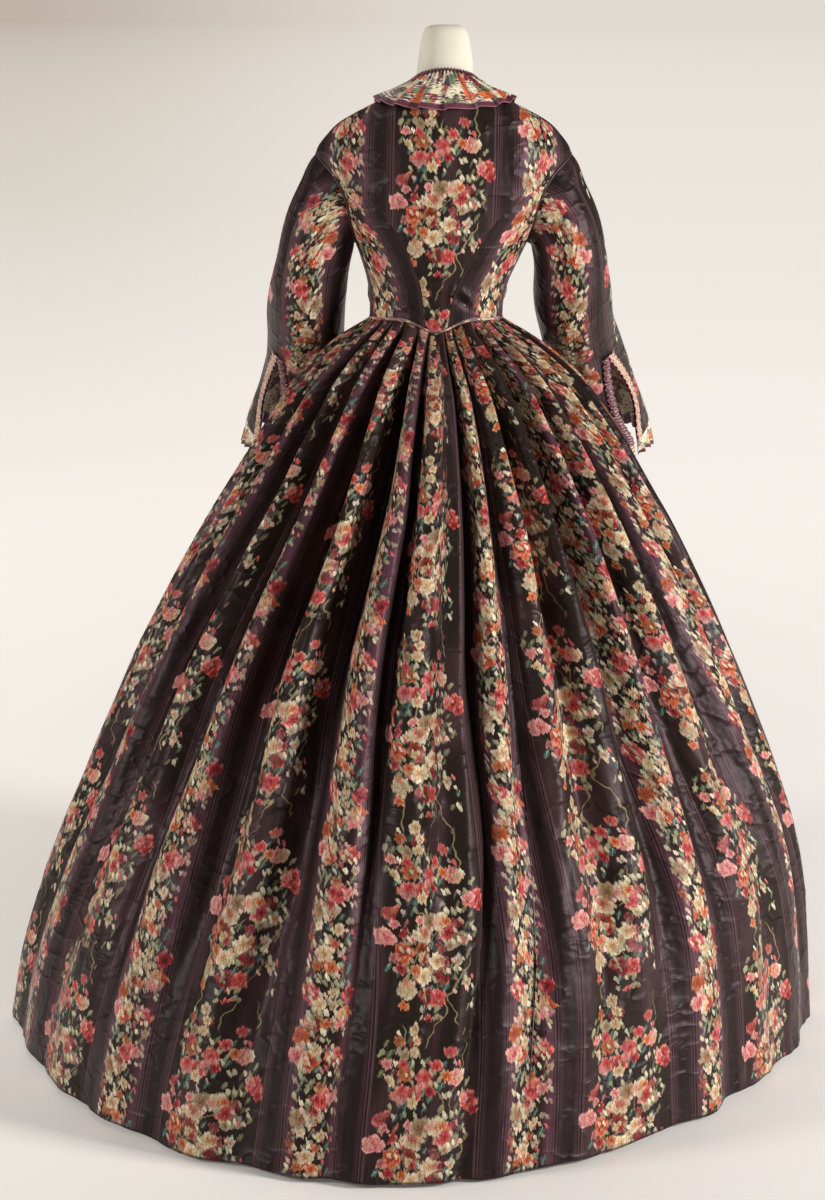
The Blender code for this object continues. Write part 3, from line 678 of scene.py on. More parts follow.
def stemLayer(tree, u, v, across, up, under):
    # thin broken stems that wander up the wide stripe
    bent = clothNoise(tree, u, v, silk["bend"])
    seen = step(tree, clothNoise(tree, u, v, silk["gaps"]), 0.44, 0.52)
    for shift, sweep, waves, phase in silk["stems"]:
        wave = calc(tree, "SINE", timesPlus(tree, up, 2 * math.pi * waves / silk["repeat"], phase))
        line = timesPlus(tree, bent, 0.026, timesPlus(tree, wave, sweep, shift - 0.013))
        drawn = times(tree, step(tree, absolute(tree, minus(tree, across, line)), 0.0015, 0.0006), seen)
        under = blend(tree, times(tree, drawn, 0.70), under, silk["stem"])
    return under


def crumpledBump(tree, shader, u, v):
    # the weave, soft crumples, and the sharper lines that taffeta keeps
    crumple = clothNoise(tree, u, v, silk["crumple"])
    weave = clothNoise(tree, u, v, silk["weave"])
    folded = clothNoise(tree, u, v, silk["lines"])
    valley = absolute(tree, timesPlus(tree, folded, 4.0, -2.0))
    ridged = calc(tree, "SUBTRACT", 1.0, valley, clamp=True)
    ridged = times(tree, calc(tree, "POWER", ridged, 4.0), 0.46)
    height = plus(tree, timesPlus(tree, weave, 0.035, crumple), ridged)
    bump(tree, shader, height, 0.0050, 0.85)


def makeSilkPrint():
    material, tree, shader = newMaterial("warp-printed silk", 0.40)
    shader.inputs["Specular IOR Level"].default_value = 0.17
    shader.inputs["Specular Tint"].default_value = tone(252, 226, 232)
    u, v, _ = apart(tree, clothPlace(tree))
    period = silk["period"]
    # the printed threads have slipped against each other, so every edge is feathered upwards
    threads = clothNoise(tree, u, v, silk["threads"])
    slip = minus(tree, threads, 0.5)
    sway = clothNoise(tree, u, v, silk["sway"])
    across = calc(tree, "WRAP", u, silk["cut"], silk["cut"] - period)
    fromWide = absolute(tree, across)
    fromNarrow = absolute(tree, plus(tree, across, period / 2))
    narrow = step(tree, fromNarrow, *silk["narrowGround"])
    swayed = timesPlus(tree, sway, 0.008, minus(tree, across, 0.004))
    up = timesPlus(tree, minus(tree, sway, 0.5), 0.010, v)
    grain = clothNoise(tree, u, v, silk["grain"])
    colour = stripeGround(tree, u, v, threads, fromWide, fromNarrow, narrow)
    colour = stemLayer(tree, u, v, swayed, timesPlus(tree, slip, 0.006, up), colour)

    garland = garlandGroup()
    layers = [(leafLayer, silk["leaves"][0]), (flowerLayer, silk["flowers"][0]),
              (leafLayer, silk["leaves"][1]), (flowerLayer, silk["flowers"][1])]
    for makeLayer, spec in layers:
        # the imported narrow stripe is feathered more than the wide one
        reach = timesPlus(tree, narrow, 0.005 * spec["slip"], 0.009 * spec["slip"])
        slipped = calc(tree, "WRAP", timesPlus(tree, slip, reach, up), silk["repeat"], 0.0)
        colour = makeLayer(tree, pair(tree, swayed, slipped), garland, grain, colour, spec)

    # warp streaks and a slightly uneven dye
    tint = timesPlus(tree, clothNoise(tree, u, v, silk["streak"]), 0.60, 0.66)
    grey = node(tree, "ShaderNodeCombineColor", {0: tint, 1: tint, 2: tint}).outputs[0]
    colour = blend(tree, 1.0, colour, grey, "MULTIPLY")
    # the hem's edge is turned up, and darker along a narrow band
    hem = step(tree, absolute(tree, minus(tree, v, silk["hemStart"])), 0.0045, 0.0025)
    colour = blend(tree, times(tree, hem, 0.8), colour, silk["hemEdge"])
    tree.links.new(colour, shader.inputs["Base Color"])
    crumpledBump(tree, shader, u, v)
    return material


# The collar's and frills' silk: sizes and noises as above, v is the way from the free edge
border = {
    "threads": (50.0, 900.0, 1.0),
    "dashes": (95.0, 420.0, 2.0),
    "weave": (700.0, 1500.0, 1.0),
    "plums": (tone(74, 32, 48), tone(104, 50, 68)),
    "band": tone(92, 38, 54),
    "picot": tone(170, 110, 120),
    "petals": [
        (0.0, tone(224, 214, 184)), (0.30, tone(110, 136, 96)), (0.42, tone(216, 204, 170)),
        (0.58, tone(212, 108, 56)), (0.68, tone(58, 72, 108)), (0.74, tone(228, 216, 190)),
        (0.88, tone(190, 70, 80)), (0.94, tone(134, 150, 104)),
    ],
}


def makeBorderSilk():
    # the frills' print: a plum band along each edge, small flowers between
    material, tree, shader = newMaterial("border silk", 0.45, 0.08, tone(200, 140, 170))
    uv = clothPlace(tree)
    u, v, _ = apart(tree, uv)
    slipped = plus(tree, u, timesPlus(tree, clothNoise(tree, u, v, border["threads"]), 0.012, -0.006))
    # ragged cream dashes, gathered in patches that turn green, blue or orange
    dashes = clothNoise(tree, slipped, v, border["dashes"])
    place = pair(tree, times(tree, slipped, 70.0), times(tree, v, 75.0))
    random = cellNumbers(tree, cellsAt(tree, place))
    petals = ramp(tree, random[0], border["petals"], "CONSTANT")
    wanted = times(tree, step(tree, v, 0.0075, 0.0105), step(tree, v, 0.064, 0.060))
    heavy = times(tree, step(tree, random[1], 0.25, 0.35), 0.16)
    mask = times(tree, step(tree, plus(tree, dashes, heavy), 0.50, 0.57), wanted)
    plum = blend(tree, step(tree, noise(tree, uv, 160.0), 0.35, 0.65), *border["plums"])
    colour = blend(tree, mask, plum, petals)
    colour = blend(tree, step(tree, v, 0.0062, 0.0050), colour, border["band"])
    picot = step(tree, v, 0.0014, 0.0009)
    knots = timesPlus(tree, calc(tree, "SINE", times(tree, u, 2 * math.pi / 0.0036)), 0.5, 0.5)
    colour = blend(tree, times(tree, picot, timesPlus(tree, knots, 0.6, 0.4)), colour, border["picot"])
    tree.links.new(colour, shader.inputs["Base Color"])
    bump(tree, shader, clothNoise(tree, u, v, border["weave"]), 0.0004, 0.5)
    return material


def makeRucheSilk(name, stops, selvedge):
    material, tree, shader = newMaterial(name, 0.42, 0.10, tone(220, 140, 180))
    u, v, _ = apart(tree, clothPlace(tree))
    fleck = clothNoise(tree, u, v, (300.0, 260.0, 2.0))
    colour = ramp(tree, fleck, stops)
    # pink selvedges
    edge = absolute(tree, minus(tree, v, 0.006))
    colour = blend(tree, step(tree, edge, 0.0050, 0.0056), colour, selvedge)
    tree.links.new(colour, shader.inputs["Base Color"])
    bump(tree, shader, fleck, 0.0006, 0.5)
    return material


def makePipingSilk(name, ground, bare):
    # bias strips of the same print, so the cord shows flecks of its colours
    material, tree, shader = newMaterial(name, 0.45, 0.1, tone(220, 180, 180))
    place = objectPlace(tree)
    cells = cellsAt(tree, place, 210.0, dims="3D")
    broad = noise(tree, place, 46.0, 2.0, "3D")
    flecks = ramp(tree, cellNumbers(tree, cells)[0], [
        (0.0, tone(206, 186, 158)), (0.34, tone(190, 112, 104)), (0.52, tone(150, 60, 66)),
        (0.66, tone(122, 84, 94)), (0.84, tone(214, 160, 146)),
    ], "CONSTANT")
    colour = blend(tree, step(tree, broad, bare, bare + 0.14), flecks, ground)
    tree.links.new(colour, shader.inputs["Base Color"])
    bump(tree, shader, noise(tree, place, 900.0, 1.0, "3D"), 0.0004, 0.5)
    return material


def makeFormCover():
    material, tree, shader = newMaterial("cream cotton cover", 0.82, 0.1)
    place = objectPlace(tree)
    broad = noise(tree, place, 14.0, 3.0, "3D")
    colour = ramp(tree, broad, [(0.30, tone(206, 199, 178)), (0.70, tone(219, 213, 195))])
    tree.links.new(colour, shader.inputs["Base Color"])
    threads = noise(tree, stretched(tree, place, (1400.0, 1400.0, 900.0)), 1.0, 1.0, "3D")
    bump(tree, shader, timesPlus(tree, broad, 0.8, threads), 0.0005, 0.5)
    return material


def makeStandMetal():
    material, tree, shader = newMaterial("brushed steel", 0.34, metallic=1.0)
    place = objectPlace(tree)
    brushed = noise(tree, stretched(tree, place, (90.0, 90.0, 1200.0)), 1.0, 3.0, "3D")
    colour = ramp(tree, brushed, [(0.30, tone(150, 150, 152)), (0.70, tone(188, 188, 190))])
    tree.links.new(colour, shader.inputs["Base Color"])
    tree.links.new(timesPlus(tree, brushed, 0.22, 0.24), shader.inputs["Roughness"])
    bump(tree, shader, brushed, 0.0003, 0.4)
    return material


printSilk = makeSilkPrint()
borderSilk = makeBorderSilk()
plumRuche = makeRucheSilk("ruched plum silk", [
    (0.36, tone(44, 14, 26)), (0.50, tone(82, 32, 50)), (0.60, tone(126, 62, 80)),
    (0.68, tone(190, 150, 130)),
], tone(118, 58, 76))
creamRuche = makeRucheSilk("ruched cream and pink silk", [
    (0.34, tone(92, 40, 56)), (0.42, tone(170, 92, 104)), (0.48, tone(220, 202, 172)),
    (0.56, tone(210, 190, 156)), (0.61, tone(138, 146, 106)), (0.66, tone(204, 104, 84)),
    (0.72, tone(104, 46, 62)),
], tone(196, 104, 128))
pipingSilk = makePipingSilk("piping silk", tone(112, 78, 88), 0.44)
darkPiping = makePipingSilk("dark piping silk", tone(60, 42, 48), 0.24)
formCover = makeFormCover()
standMetal = makeStandMetal()
print("dress: the materials are mixed")


# Skirt: at each level the half width at the folds' ridges, the reach behind and in front, how far
# the widest place lies behind the axis, the folds' depth, and how far the cloth gathers to the back
skirt = {
    "breadths": 7,
    "firstSeam": -17.5,
    "columns": 110,
    # rows of points: the level where a stretch of them ends, and how many it has
    "rows": ((0.12, 15), (0.93, 95), (1.058, 45)),
    # metres of cloth for each degree, seven silk widths in all
    "perDegree": 4.158 / 360,
    # behind, the hem sways to the wearer's left, and the round is a little more pointed
    "sway": 0.034,
    "point": 0.11,
    "sharpness": 2.4,
    # the folds become tubes at the waist: the least share of tube, the level where it starts to
    # grow, and over what height; the last number keeps the tubes' sides from standing upright
    "tube": (0.25, 0.84, 0.13),
    "tubeFlat": 0.015,
    # the folds wander by some degrees: how many, and the size of a bend round and up
    "drift": (1.1, 11.25, 0.21),
    # from this level up, the rows slope along with the waist's edge
    "fadeFrom": 0.93,
    "flat": (0.594, 1.13),
    # small uneven puckers: height, size round and up, seed, and the level where they start to fade
    # towards the waist and over what height
    "puckers": (
        (0.0022, 2.8125, 0.16, 11, 0.80, 0.15),
        (0.0012, 1.40625, 0.07, 12, 0.85, 0.12),
        (0.0045, 5.625, 0.40, 13, 0.45, 0.30),
    ),
    # faint lines round the skirt, where a tuck was let out and where the hem's lining ends
    "tucks": ((0.205, 0.0011, 21), (0.150, -0.0008, 22), (0.060, -0.0010, 23)),
    "tuckHalf": 0.006,
    # the hem's edge lifts a little here and there
    "hemLift": 0.0022,
    "hemFade": 0.06,
    # the turn that the print is measured from
    "anchor": -13.0,
    # how far the print slides along the cloth, at the top of the skirt and at its hem, after
    # the level where one starts to become the other and over what height
    "slideFade": (0.10, 0.55),
    "slide": table("turn top hem", [
        (-90.0, 0.070, 0.110), (-60.0, 0.066, 0.100), (-46.0, 0.050, 0.086), (-33.0, 0.030, 0.068),
        (-17.5, 0.008, 0.052), (-4.3, 0.000, 0.048), (10.0, -0.004, 0.034), (25.0, -0.024, 0.008),
        (44.0, -0.050, -0.026), (60.0, -0.066, -0.050), (110.0, -0.050, -0.050), (180.0, 0.000, 0.000),
        (250.0, 0.055, 0.080), (270.0, 0.070, 0.110),
    ]),
    "shape": table("height side back front middle fold gather", [
        (0.004, 0.615, 0.775, 0.520, 0.050, 0.010, 0.00),
        (0.120, 0.601, 0.757, 0.498, 0.062, 0.015, 0.00),
        (0.280, 0.564, 0.705, 0.445, 0.080, 0.025, 0.00),
        (0.470, 0.490, 0.612, 0.368, 0.090, 0.041, 0.02),
        (0.660, 0.403, 0.498, 0.278, 0.100, 0.052, 0.05),
        (0.820, 0.315, 0.388, 0.208, 0.100, 0.056, 0.10),
        (0.930, 0.246, 0.292, 0.162, 0.078, 0.053, 0.15),
        (0.995, 0.194, 0.217, 0.136, 0.048, 0.043, 0.18),
        (1.034, 0.143, 0.145, 0.117, 0.014, 0.027, 0.20),
        (1.058, 0.1013, 0.0843, 0.1063, 0.000, 0.0030, 0.22),
    ]),
    "folds": table("ridge valley depth", [
        (-70.0, -62.0, 0.75), (-55.7, -50.0, 0.75), (-45.0, -39.0, 1.00), (-33.7, -28.0, 0.85),
        (-23.5, -17.0, 0.55), (-13.0, -9.2, 0.90), (-6.2, -2.0, 0.15), (1.6, 7.6, 0.80),
        (11.0, 19.5, 1.45), (27.0, 34.0, 1.20), (41.0, 47.0, 0.80), (53.4, 61.0, 0.95),
        (68.0, 75.0, 0.80), (81.0, 88.0, 0.90), (94.0, 101.0, 0.80), (107.0, 113.0, 0.95),
        (120.0, 126.5, 0.75), (132.0, 138.0, 0.90), (144.0, 151.0, 0.70), (156.0, 162.0, 0.85),
        (168.0, 174.0, 0.70), (180.0, 187.0, 0.80), (192.0, 198.0, 0.90), (204.0, 210.0, 0.70),
        (216.0, 223.0, 0.90), (229.0, 235.0, 0.80), (242.0, 249.0, 0.95), (255.0, 261.0, 0.75),
        (268.0, 274.0, 0.90), (279.0, 284.0, 0.80),
    ]),
    # soft lines pressed into the cloth: their ends in metres of cloth from the centre back and in
    # metres above the floor, their width and height
    "creases": table("u0 v0 u1 v1 width height", [
        (-0.62, 0.30, -0.50, 0.82, 0.012, -0.0040), (-0.48, 0.12, -0.45, 0.55, 0.016, 0.0035),
        (-0.40, 0.40, -0.37, 0.90, 0.010, -0.0040), (-0.33, 0.05, -0.31, 0.42, 0.018, -0.0040),
        (-0.26, 0.35, -0.28, 0.78, 0.010, 0.0030), (-0.21, 0.10, -0.19, 0.38, 0.014, -0.0035),
        (-0.10, 0.20, -0.11, 0.60, 0.010, 0.0030), (-0.045, 0.06, -0.050, 0.50, 0.014, -0.0045),
        (0.030, 0.10, 0.024, 0.48, 0.016, -0.0050), (0.065, 0.35, 0.055, 0.74, 0.010, 0.0030),
        (0.16, 0.06, 0.15, 0.40, 0.020, 0.0045), (0.24, 0.10, 0.22, 0.52, 0.012, -0.0040),
        (0.30, 0.40, 0.31, 0.86, 0.010, 0.0030), (0.37, 0.05, 0.35, 0.44, 0.016, -0.0045),
        (0.46, 0.34, 0.44, 0.80, 0.012, 0.0035), (0.53, 0.08, 0.55, 0.46, 0.018, -0.0040),
        (0.62, 0.30, 0.60, 0.72, 0.012, -0.0035), (0.72, 0.08, 0.70, 0.40, 0.018, 0.0040),
        (0.83, 0.24, 0.80, 0.78, 0.012, -0.0035), (0.95, 0.06, 0.97, 0.42, 0.018, -0.0040),
        (1.06, 0.30, 1.04, 0.76, 0.012, 0.0035), (1.18, 0.06, 1.20, 0.44, 0.016, -0.0045),
        (1.30, 0.26, 1.28, 0.70, 0.012, -0.0035), (1.42, 0.08, 1.40, 0.38, 0.018, 0.0040),
        (1.55, 0.22, 1.53, 0.74, 0.012, -0.0040), (1.67, 0.06, 1.69, 0.36, 0.018, -0.0035),
        (1.79, 0.28, 1.78, 0.78, 0.011, 0.0035), (1.90, 0.08, 1.92, 0.44, 0.017, -0.0045),
        (2.03, 0.30, 2.01, 0.72, 0.012, -0.0035), (2.15, 0.06, 2.13, 0.40, 0.018, 0.0040),
        (2.27, 0.24, 2.25, 0.76, 0.012, -0.0035), (2.39, 0.08, 2.41, 0.38, 0.017, -0.0040),
        (2.50, 0.30, 2.49, 0.74, 0.012, 0.0035), (2.62, 0.06, 2.60, 0.42, 0.018, -0.0045),
        (2.74, 0.24, 2.76, 0.70, 0.012, -0.0035), (2.86, 0.08, 2.84, 0.40, 0.018, 0.0040),
        (2.98, 0.28, 3.00, 0.80, 0.012, -0.0040), (3.10, 0.06, 3.12, 0.38, 0.017, -0.0035),
        (3.22, 0.30, 3.20, 0.72, 0.012, 0.0035), (3.35, 0.10, 3.37, 0.44, 0.016, -0.0045),
    ]),
}


def foldAt(turn, tube):
    # 0 on a ridge, the table's depth in a valley; `tube` rounds the ridges and narrows the valleys
    folds = skirt["folds"]
    first = folds["ridge"][0]
    turn = (turn - first) % 360.0 + first
    ridges = np.append(folds["ridge"], first + 360.0)
    i = np.clip(np.searchsorted(ridges, turn + 1e-9, side="right") - 1, 0, len(ridges) - 2)
    width = ridges[i + 1] - ridges[i]
    part = np.clip((turn - ridges[i]) / width, 0.0, 1.0)
    bend = np.log(0.5) / np.log((folds["valley"][i] - ridges[i]) / width)
    wave = np.sin(np.pi * part**bend)
    flat = skirt["tubeFlat"]
    tubed = (1 - np.sqrt(1 - (1 - flat) * wave * wave)) / (1 - math.sqrt(flat))
    sharp = np.maximum(wave, 0) ** skirt["sharpness"]
    return i, folds["depth"][i] * ((1 - tube) * sharp + tube * tubed)


def skirtPoint(turn, level, folded=True):
    shape = skirt["shape"]
    gather = np.degrees(along(shape, "gather", level)) * sine(turn)
    place = turn - gather
    side = along(shape, "side", level)
    middle = along(shape, "middle", level)
    s = sine(place)
    c = cosine(place)
    reach = np.where(c >= 0, along(shape, "back", level) - middle, along(shape, "front", level) + middle)
    away = unit(joined(s / side, c / reach, 0 * level))
    point = joined(lean(level) + side * s, body["axisY"] + middle + reach * c, level)
    behind = np.maximum(c, 0)
    point[..., 0] += skirt["sway"] * behind**2 * (1 - level / body["waistLevel"])
    point[..., 1] -= skirt["point"] * reach * behind * s * s
    if folded:
        least, start, length = skirt["tube"]
        tube = least + (1 - least) * rising(level, start, length)
        most, cell, rise = skirt["drift"]
        drift = most * aroundNoise(turn, cell, level / rise, 5)
        drift = drift * rising(level, 0.0, 0.25) * (1 - rising(level, 0.80, 0.15))
        _, depth = foldAt(turn + drift, tube)
        point -= away * (along(shape, "fold", level) * depth)[..., None]
    fade = rising(level, skirt["fadeFrom"], body["waistLevel"] - skirt["fadeFrom"])
    room = (2 * cloth["cordRadius"] + cloth["edgeGap"] + 2 * cloth["seamGap"]) * waistSlant(place)
    point[..., 2] += fade * (waistShift(place) - room)
    return point


def clothAcross(points, turns, level):
    # metres of cloth along each row: what the folds have no room for is hidden in the valleys
    steps = np.linalg.norm(np.diff(points, axis=1), axis=-1)
    between = (turns[1:] + turns[:-1]) / 2
    fold, depth = foldAt(between, 0.0)
    share = depth**3 + 1e-4
    member = (fold[:, None] == np.arange(len(skirt["folds"]["ridge"]))).astype(float)
    room = steps @ member
    need = (np.diff(turns) @ member) * skirt["perDegree"]
    shares = share @ member
    spare = np.maximum(need - room, 0.0) / shares
    scale = np.minimum(need / room, 1.0)
    run = steps * scale[:, fold] + spare[:, fold] * share
    u = np.hstack([np.zeros((len(points), 1)), np.cumsum(run, axis=1)])
    anchor = skirt["anchor"]
    at = np.array([np.interp(anchor, turns, row) for row in u])
    slide = skirt["slide"]
    around = np.where(turns > 270.0, turns - 360.0, turns)
    top = np.interp(around, slide["turn"], slide["top"])
    hem = np.interp(around, slide["turn"], slide["hem"])
    low = 1 - rising(level, *skirt["slideFade"])
    return u - at[:, None] + anchor * skirt["perDegree"] + top + (hem - top) * low


def makeSkirt():
    stretches = [skirt["shape"]["height"][:1]]
    for end, count in skirt["rows"]:
        stretches.append(np.linspace(stretches[-1][-1], end, count + 1)[1:])
    levels = np.concatenate(stretches)
    count = skirt["columns"]
    width = 360.0 / skirt["breadths"]
    turns = skirt["firstSeam"] + np.arange(skirt["breadths"] * count + 1) * width / count
    turn, level = np.meshgrid(turns, levels)
    points = skirtPoint(turn, level)
    u = clothAcross(points, turns, level)
    v = lengthUp(skirtPoint(turn, level, folded=False)) + silk["hemStart"]
    press = creased(turn * skirt["perDegree"], level, skirt["creases"])
    for height, cell, rise, seed, start, length in skirt["puckers"]:
        press += height * aroundNoise(turn, cell, level / rise, seed) * (1 - rising(level, start, length))
    for place, height, seed in skirt["tucks"]:
        wander = place + 0.010 * aroundNoise(turn, 11.25, level * 0, seed)
        strength = 0.35 + 0.65 * np.abs(aroundNoise(turn, 5.625, level * 0 + 3, seed))
        press += height * strength * np.exp(-(((level - wander) / skirt["tuckHalf"]) ** 2))
    points = points + gridNormals(points) * press[..., None]
    atHem = 1 - rising(level, 0.0, skirt["hemFade"])
    points[..., 2] += atHem * skirt["hemLift"] * (1 + aroundNoise(turn, 5.625, level * 0 + 9, 31))
    for k in range(skirt["breadths"]):
        own = slice(k * count, (k + 1) * count + 1)
        part = points[:, own].copy()
        openSeams(part)
        name = f"skirt_breadth_{k + 1}"
        piece = sheetMesh(f"{name}_silk", part, u[:, own], v[:, own], cloth["wall"])
        dress(piece, printSilk, "silk_print", name)
    print("dress: the skirt's seven breadths hang, area", round(flatArea(points), 3))


makeSkirt()

# Bodice: the seams as turns at each height, and the armholes round the body
bodice = {
    "sideBackSeam": table("height turn", [
        (1.058, 9.5), (1.110, 14.5), (1.165, 25.0), (1.199, 30.0), (1.2325, 43.0), (1.2663, 64.0),
    ]),
    "shoulderSeam": table("height turn", [
        (1.300, 90.0), (1.330, 84.0), (1.360, 80.0), (1.385, 78.0), (1.410, 76.0),
    ]),
    "armholeMiddle": 1.2325,
    "armholeHalf": 0.0675,
    "armholeTurn": 30.0,
    "seamTop": 1.2663,
    # rows of points below the armhole, beside it and above it
    "rows": (40, 36, 36),
    # cut: the turn of the straight thread, and the cloth's place there, across and up
    "pieces": {
        "back": {"columns": 96, "cut": (0.0, 0.0, 0.19), "flat": (0.32, 0.37), "area": 0.075},
        "sideBack": {"columns": 40, "cut": (90.0, 0.206, 0.08), "flat": (0.14, 0.23), "area": 0.018},
        "front": {"columns": 72, "cut": (180.0, 0.297, 0.22), "flat": (0.26, 0.40), "area": 0.065},
    },
    # a round radius and its metres to the degree, for the places of small uneven shapes
    "radius": 0.115,
    "perDegree": 0.002,
    "slack": 0.0007,
    # the seams lie in a shallow dip
    "dip": 0.0011,
    "dipHalf": 0.004,
    "wrinkleDepth": 2.2,
    # strained wrinkles: their ends in metres round the body and above the waist, width and height
    "wrinkles": table("u0 v0 u1 v1 width height", [
        (-0.075, 0.018, -0.030, 0.052, 0.0045, 0.0022), (-0.070, 0.008, -0.026, 0.040, 0.0040, -0.0016),
        (-0.030, 0.052, 0.006, 0.030, 0.0045, 0.0018), (-0.014, 0.010, 0.030, 0.010, 0.0025, -0.0016),
        (0.030, 0.020, 0.070, 0.046, 0.0045, 0.0015), (0.050, 0.006, 0.085, 0.020, 0.0035, -0.0014),
        (-0.060, 0.110, -0.020, 0.135, 0.0060, 0.0010), (0.030, 0.120, 0.066, 0.150, 0.0060, 0.0011),
        (-0.110, 0.200, -0.060, 0.170, 0.0070, 0.0014), (0.110, 0.205, 0.066, 0.172, 0.0070, 0.0014),
        (-0.090, 0.290, -0.030, 0.315, 0.0060, 0.0010), (0.090, 0.285, 0.040, 0.312, 0.0060, 0.0010),
        (0.180, 0.020, 0.230, 0.060, 0.0060, 0.0018), (-0.180, 0.024, -0.236, 0.058, 0.0060, 0.0018),
        (0.270, 0.050, 0.310, 0.020, 0.0060, 0.0016), (-0.275, 0.046, -0.315, 0.018, 0.0060, 0.0016),
    ]),
}
pipingInset = cloth["cordRadius"] + 2 * cloth["seamGap"]
armholeTop = bodice["armholeMiddle"] + bodice["armholeHalf"]
armholeFoot = bodice["armholeMiddle"] - bodice["armholeHalf"]


def armholeTurn(angle):
    return 90.0 - bodice["armholeTurn"] * sine(angle)


def armholeLevel(angle):
    return bodice["armholeMiddle"] + bodice["armholeHalf"] * cosine(angle)


def armholeEdge(level, sign):
    lift = np.clip((level - bodice["armholeMiddle"]) / bodice["armholeHalf"], -1.0, 1.0)
    return 90.0 + sign * bodice["armholeTurn"] * np.sqrt(1 - lift * lift)


def armholePoint(side, angle, inward):
    def edge(a):
        return bodicePoint(side * armholeTurn(a), armholeLevel(a))

    tangent = unit(edge(angle + 2) - edge(angle - 2))
    out = outward(bodicePoint, side * armholeTurn(angle), armholeLevel(angle))
    into = unit(np.cross(out, tangent))
    corners = np.array([0.0, 90.0, 180.0, 270.0])
    into = turnedTo(into, edge(corners).mean(axis=0) - edge(angle))
    return edge(angle) + into * inward - out * cloth["modelWall"] / 2


def backEdge(level):
    seam = along(bodice["sideBackSeam"], "turn", level)
    shoulder = along(bodice["shoulderSeam"], "turn", level)
    above = np.where(level <= armholeTop, armholeEdge(level, -1), shoulder)
    return np.where(level <= bodice["seamTop"], seam, above)


def underArmEdge(level):
    return np.where(level <= armholeFoot, 90.0, armholeEdge(level, -1))


def frontEdge(level):
    shoulder = along(bodice["shoulderSeam"], "turn", level)
    above = np.where(level < armholeTop, armholeEdge(level, 1), shoulder)
    return np.where(level <= armholeFoot, 90.0, above)


def bodyArc(turn, level):
    # metres round the body from the centre back
    part = np.linspace(0, 1, 49)
    line = bodicePoint(turn[..., None] * part, level[..., None] + 0 * part)
    return np.linalg.norm(np.diff(line, axis=-2), axis=-1).sum(axis=-1)


def bodicePiece(name, side, levels, first, last, spec):
    starts = first(levels)
    ends = last(levels)
    part = np.linspace(0, 1, spec["columns"] + 1)
    turn = side * (starts[:, None] + (ends - starts)[:, None] * part)
    level = np.broadcast_to(levels[:, None], turn.shape)
    points = bodicePoint(turn, level)
    thread, across, start = spec["cut"]
    u = np.sign(turn) * (across + bodyArc(np.abs(turn), level) - bodyArc(0 * turn + thread, level))
    v = lengthUp(points)[:, spec["columns"] // 2][:, None] + 0 * u + start
    away = outward(bodicePoint, turn, level)
    reach = np.radians(turn) * bodice["radius"]
    rise = level - body["waistLevel"]
    wrinkles = creased(reach, rise, bodice["wrinkles"])
    points = points + away * bodice["wrinkleDepth"] * wrinkles[..., None]
    fromSeam = np.minimum(part, 1 - part) * np.abs(ends - starts)[:, None] * bodice["perDegree"]
    slack = bodice["slack"] * softNoise(reach / 0.030, rise / 0.045, 41)
    slack = slack - bodice["dip"] * np.exp(-((fromSeam / bodice["dipHalf"]) ** 2))
    points = points + away * slack[..., None]
    openSeams(points)
    if side < 0:
        points, u, v = points[:, ::-1], u[:, ::-1], v[:, ::-1]
    piece = sheetMesh(f"{name}_silk", points, u, v, cloth["wall"])
    dress(piece, printSilk, "silk_print", name)
    print("dress:", name, "area", round(flatArea(points), 4))


def makeBodice():
    below, beside, above = bodice["rows"]
    holes = armholeLevel(np.linspace(180.0, 0.0, beside + 1))
    low = np.linspace(body["waistLevel"], holes[0], below + 1)[:-1]
    high = np.linspace(holes[-1], body["neckLevel"], above + 1)[1:]
    levels = np.concatenate([low, holes, high])
    short = levels[levels <= bodice["seamTop"] + 0.0005]
    pieces = bodice["pieces"]
    bodicePiece("bodice_back", 1, levels, lambda level: -backEdge(level), backEdge, pieces["back"])
    for side, word in sides:
        bodicePiece(f"bodice_side_back_{word}", side, short, backEdge, underArmEdge, pieces["sideBack"])
        bodicePiece(f"bodice_front_{word}", side, levels, frontEdge, lambda level: 0 * level + 180.0,
                    pieces["front"])


def makeCord(name, points, closed, material):
    curve = bpy.data.curves.new(f"{name}_cord", "CURVE")
    curve.dimensions = "3D"
    curve.bevel_depth = cloth["cordRadius"]
    curve.bevel_resolution = 3
    curve.use_fill_caps = not closed
    spline = curve.splines.new("POLY")
    spline.points.add(len(points) - 1)
    for knot, point in zip(spline.points, points):
        knot.co = (*point, 1)
    spline.use_cyclic_u = closed
    piece = bpy.data.objects.new(f"{name}_cord", curve)
    bpy.context.scene.collection.objects.link(piece)
    activate(piece)
    bpy.ops.object.convert(target="MESH")
    piece = bpy.context.view_layer.objects.active
    piece.data.shade_smooth()
    dress(piece, material, "silk_piping", name)


def makePipings():
    # the cord's ends stop just short of the centre front
    end = 178.6
    turns = np.linspace(-end, end, 360)
    out = outward(bodicePoint, turns, 0 * turns + body["waistLevel"] + 0.002)
    points = bodicePoint(turns, 0 * turns + body["waistLevel"]) - out * cloth["modelWall"] / 2
    points[:, 2] -= (cloth["edgeGap"] + cloth["cordRadius"]) * waistSlant(turns)
    makeCord("waist_piping", points, False, pipingSilk)
    count = 96
    angles = np.arange(count) * 360.0 / count
    for side, word in sides:
        makeCord(f"armhole_piping_{word}", armholePoint(side, angles, pipingInset), True, darkPiping)


makeBodice()
makePipings()
print("dress: the bodice is sewn and piped")

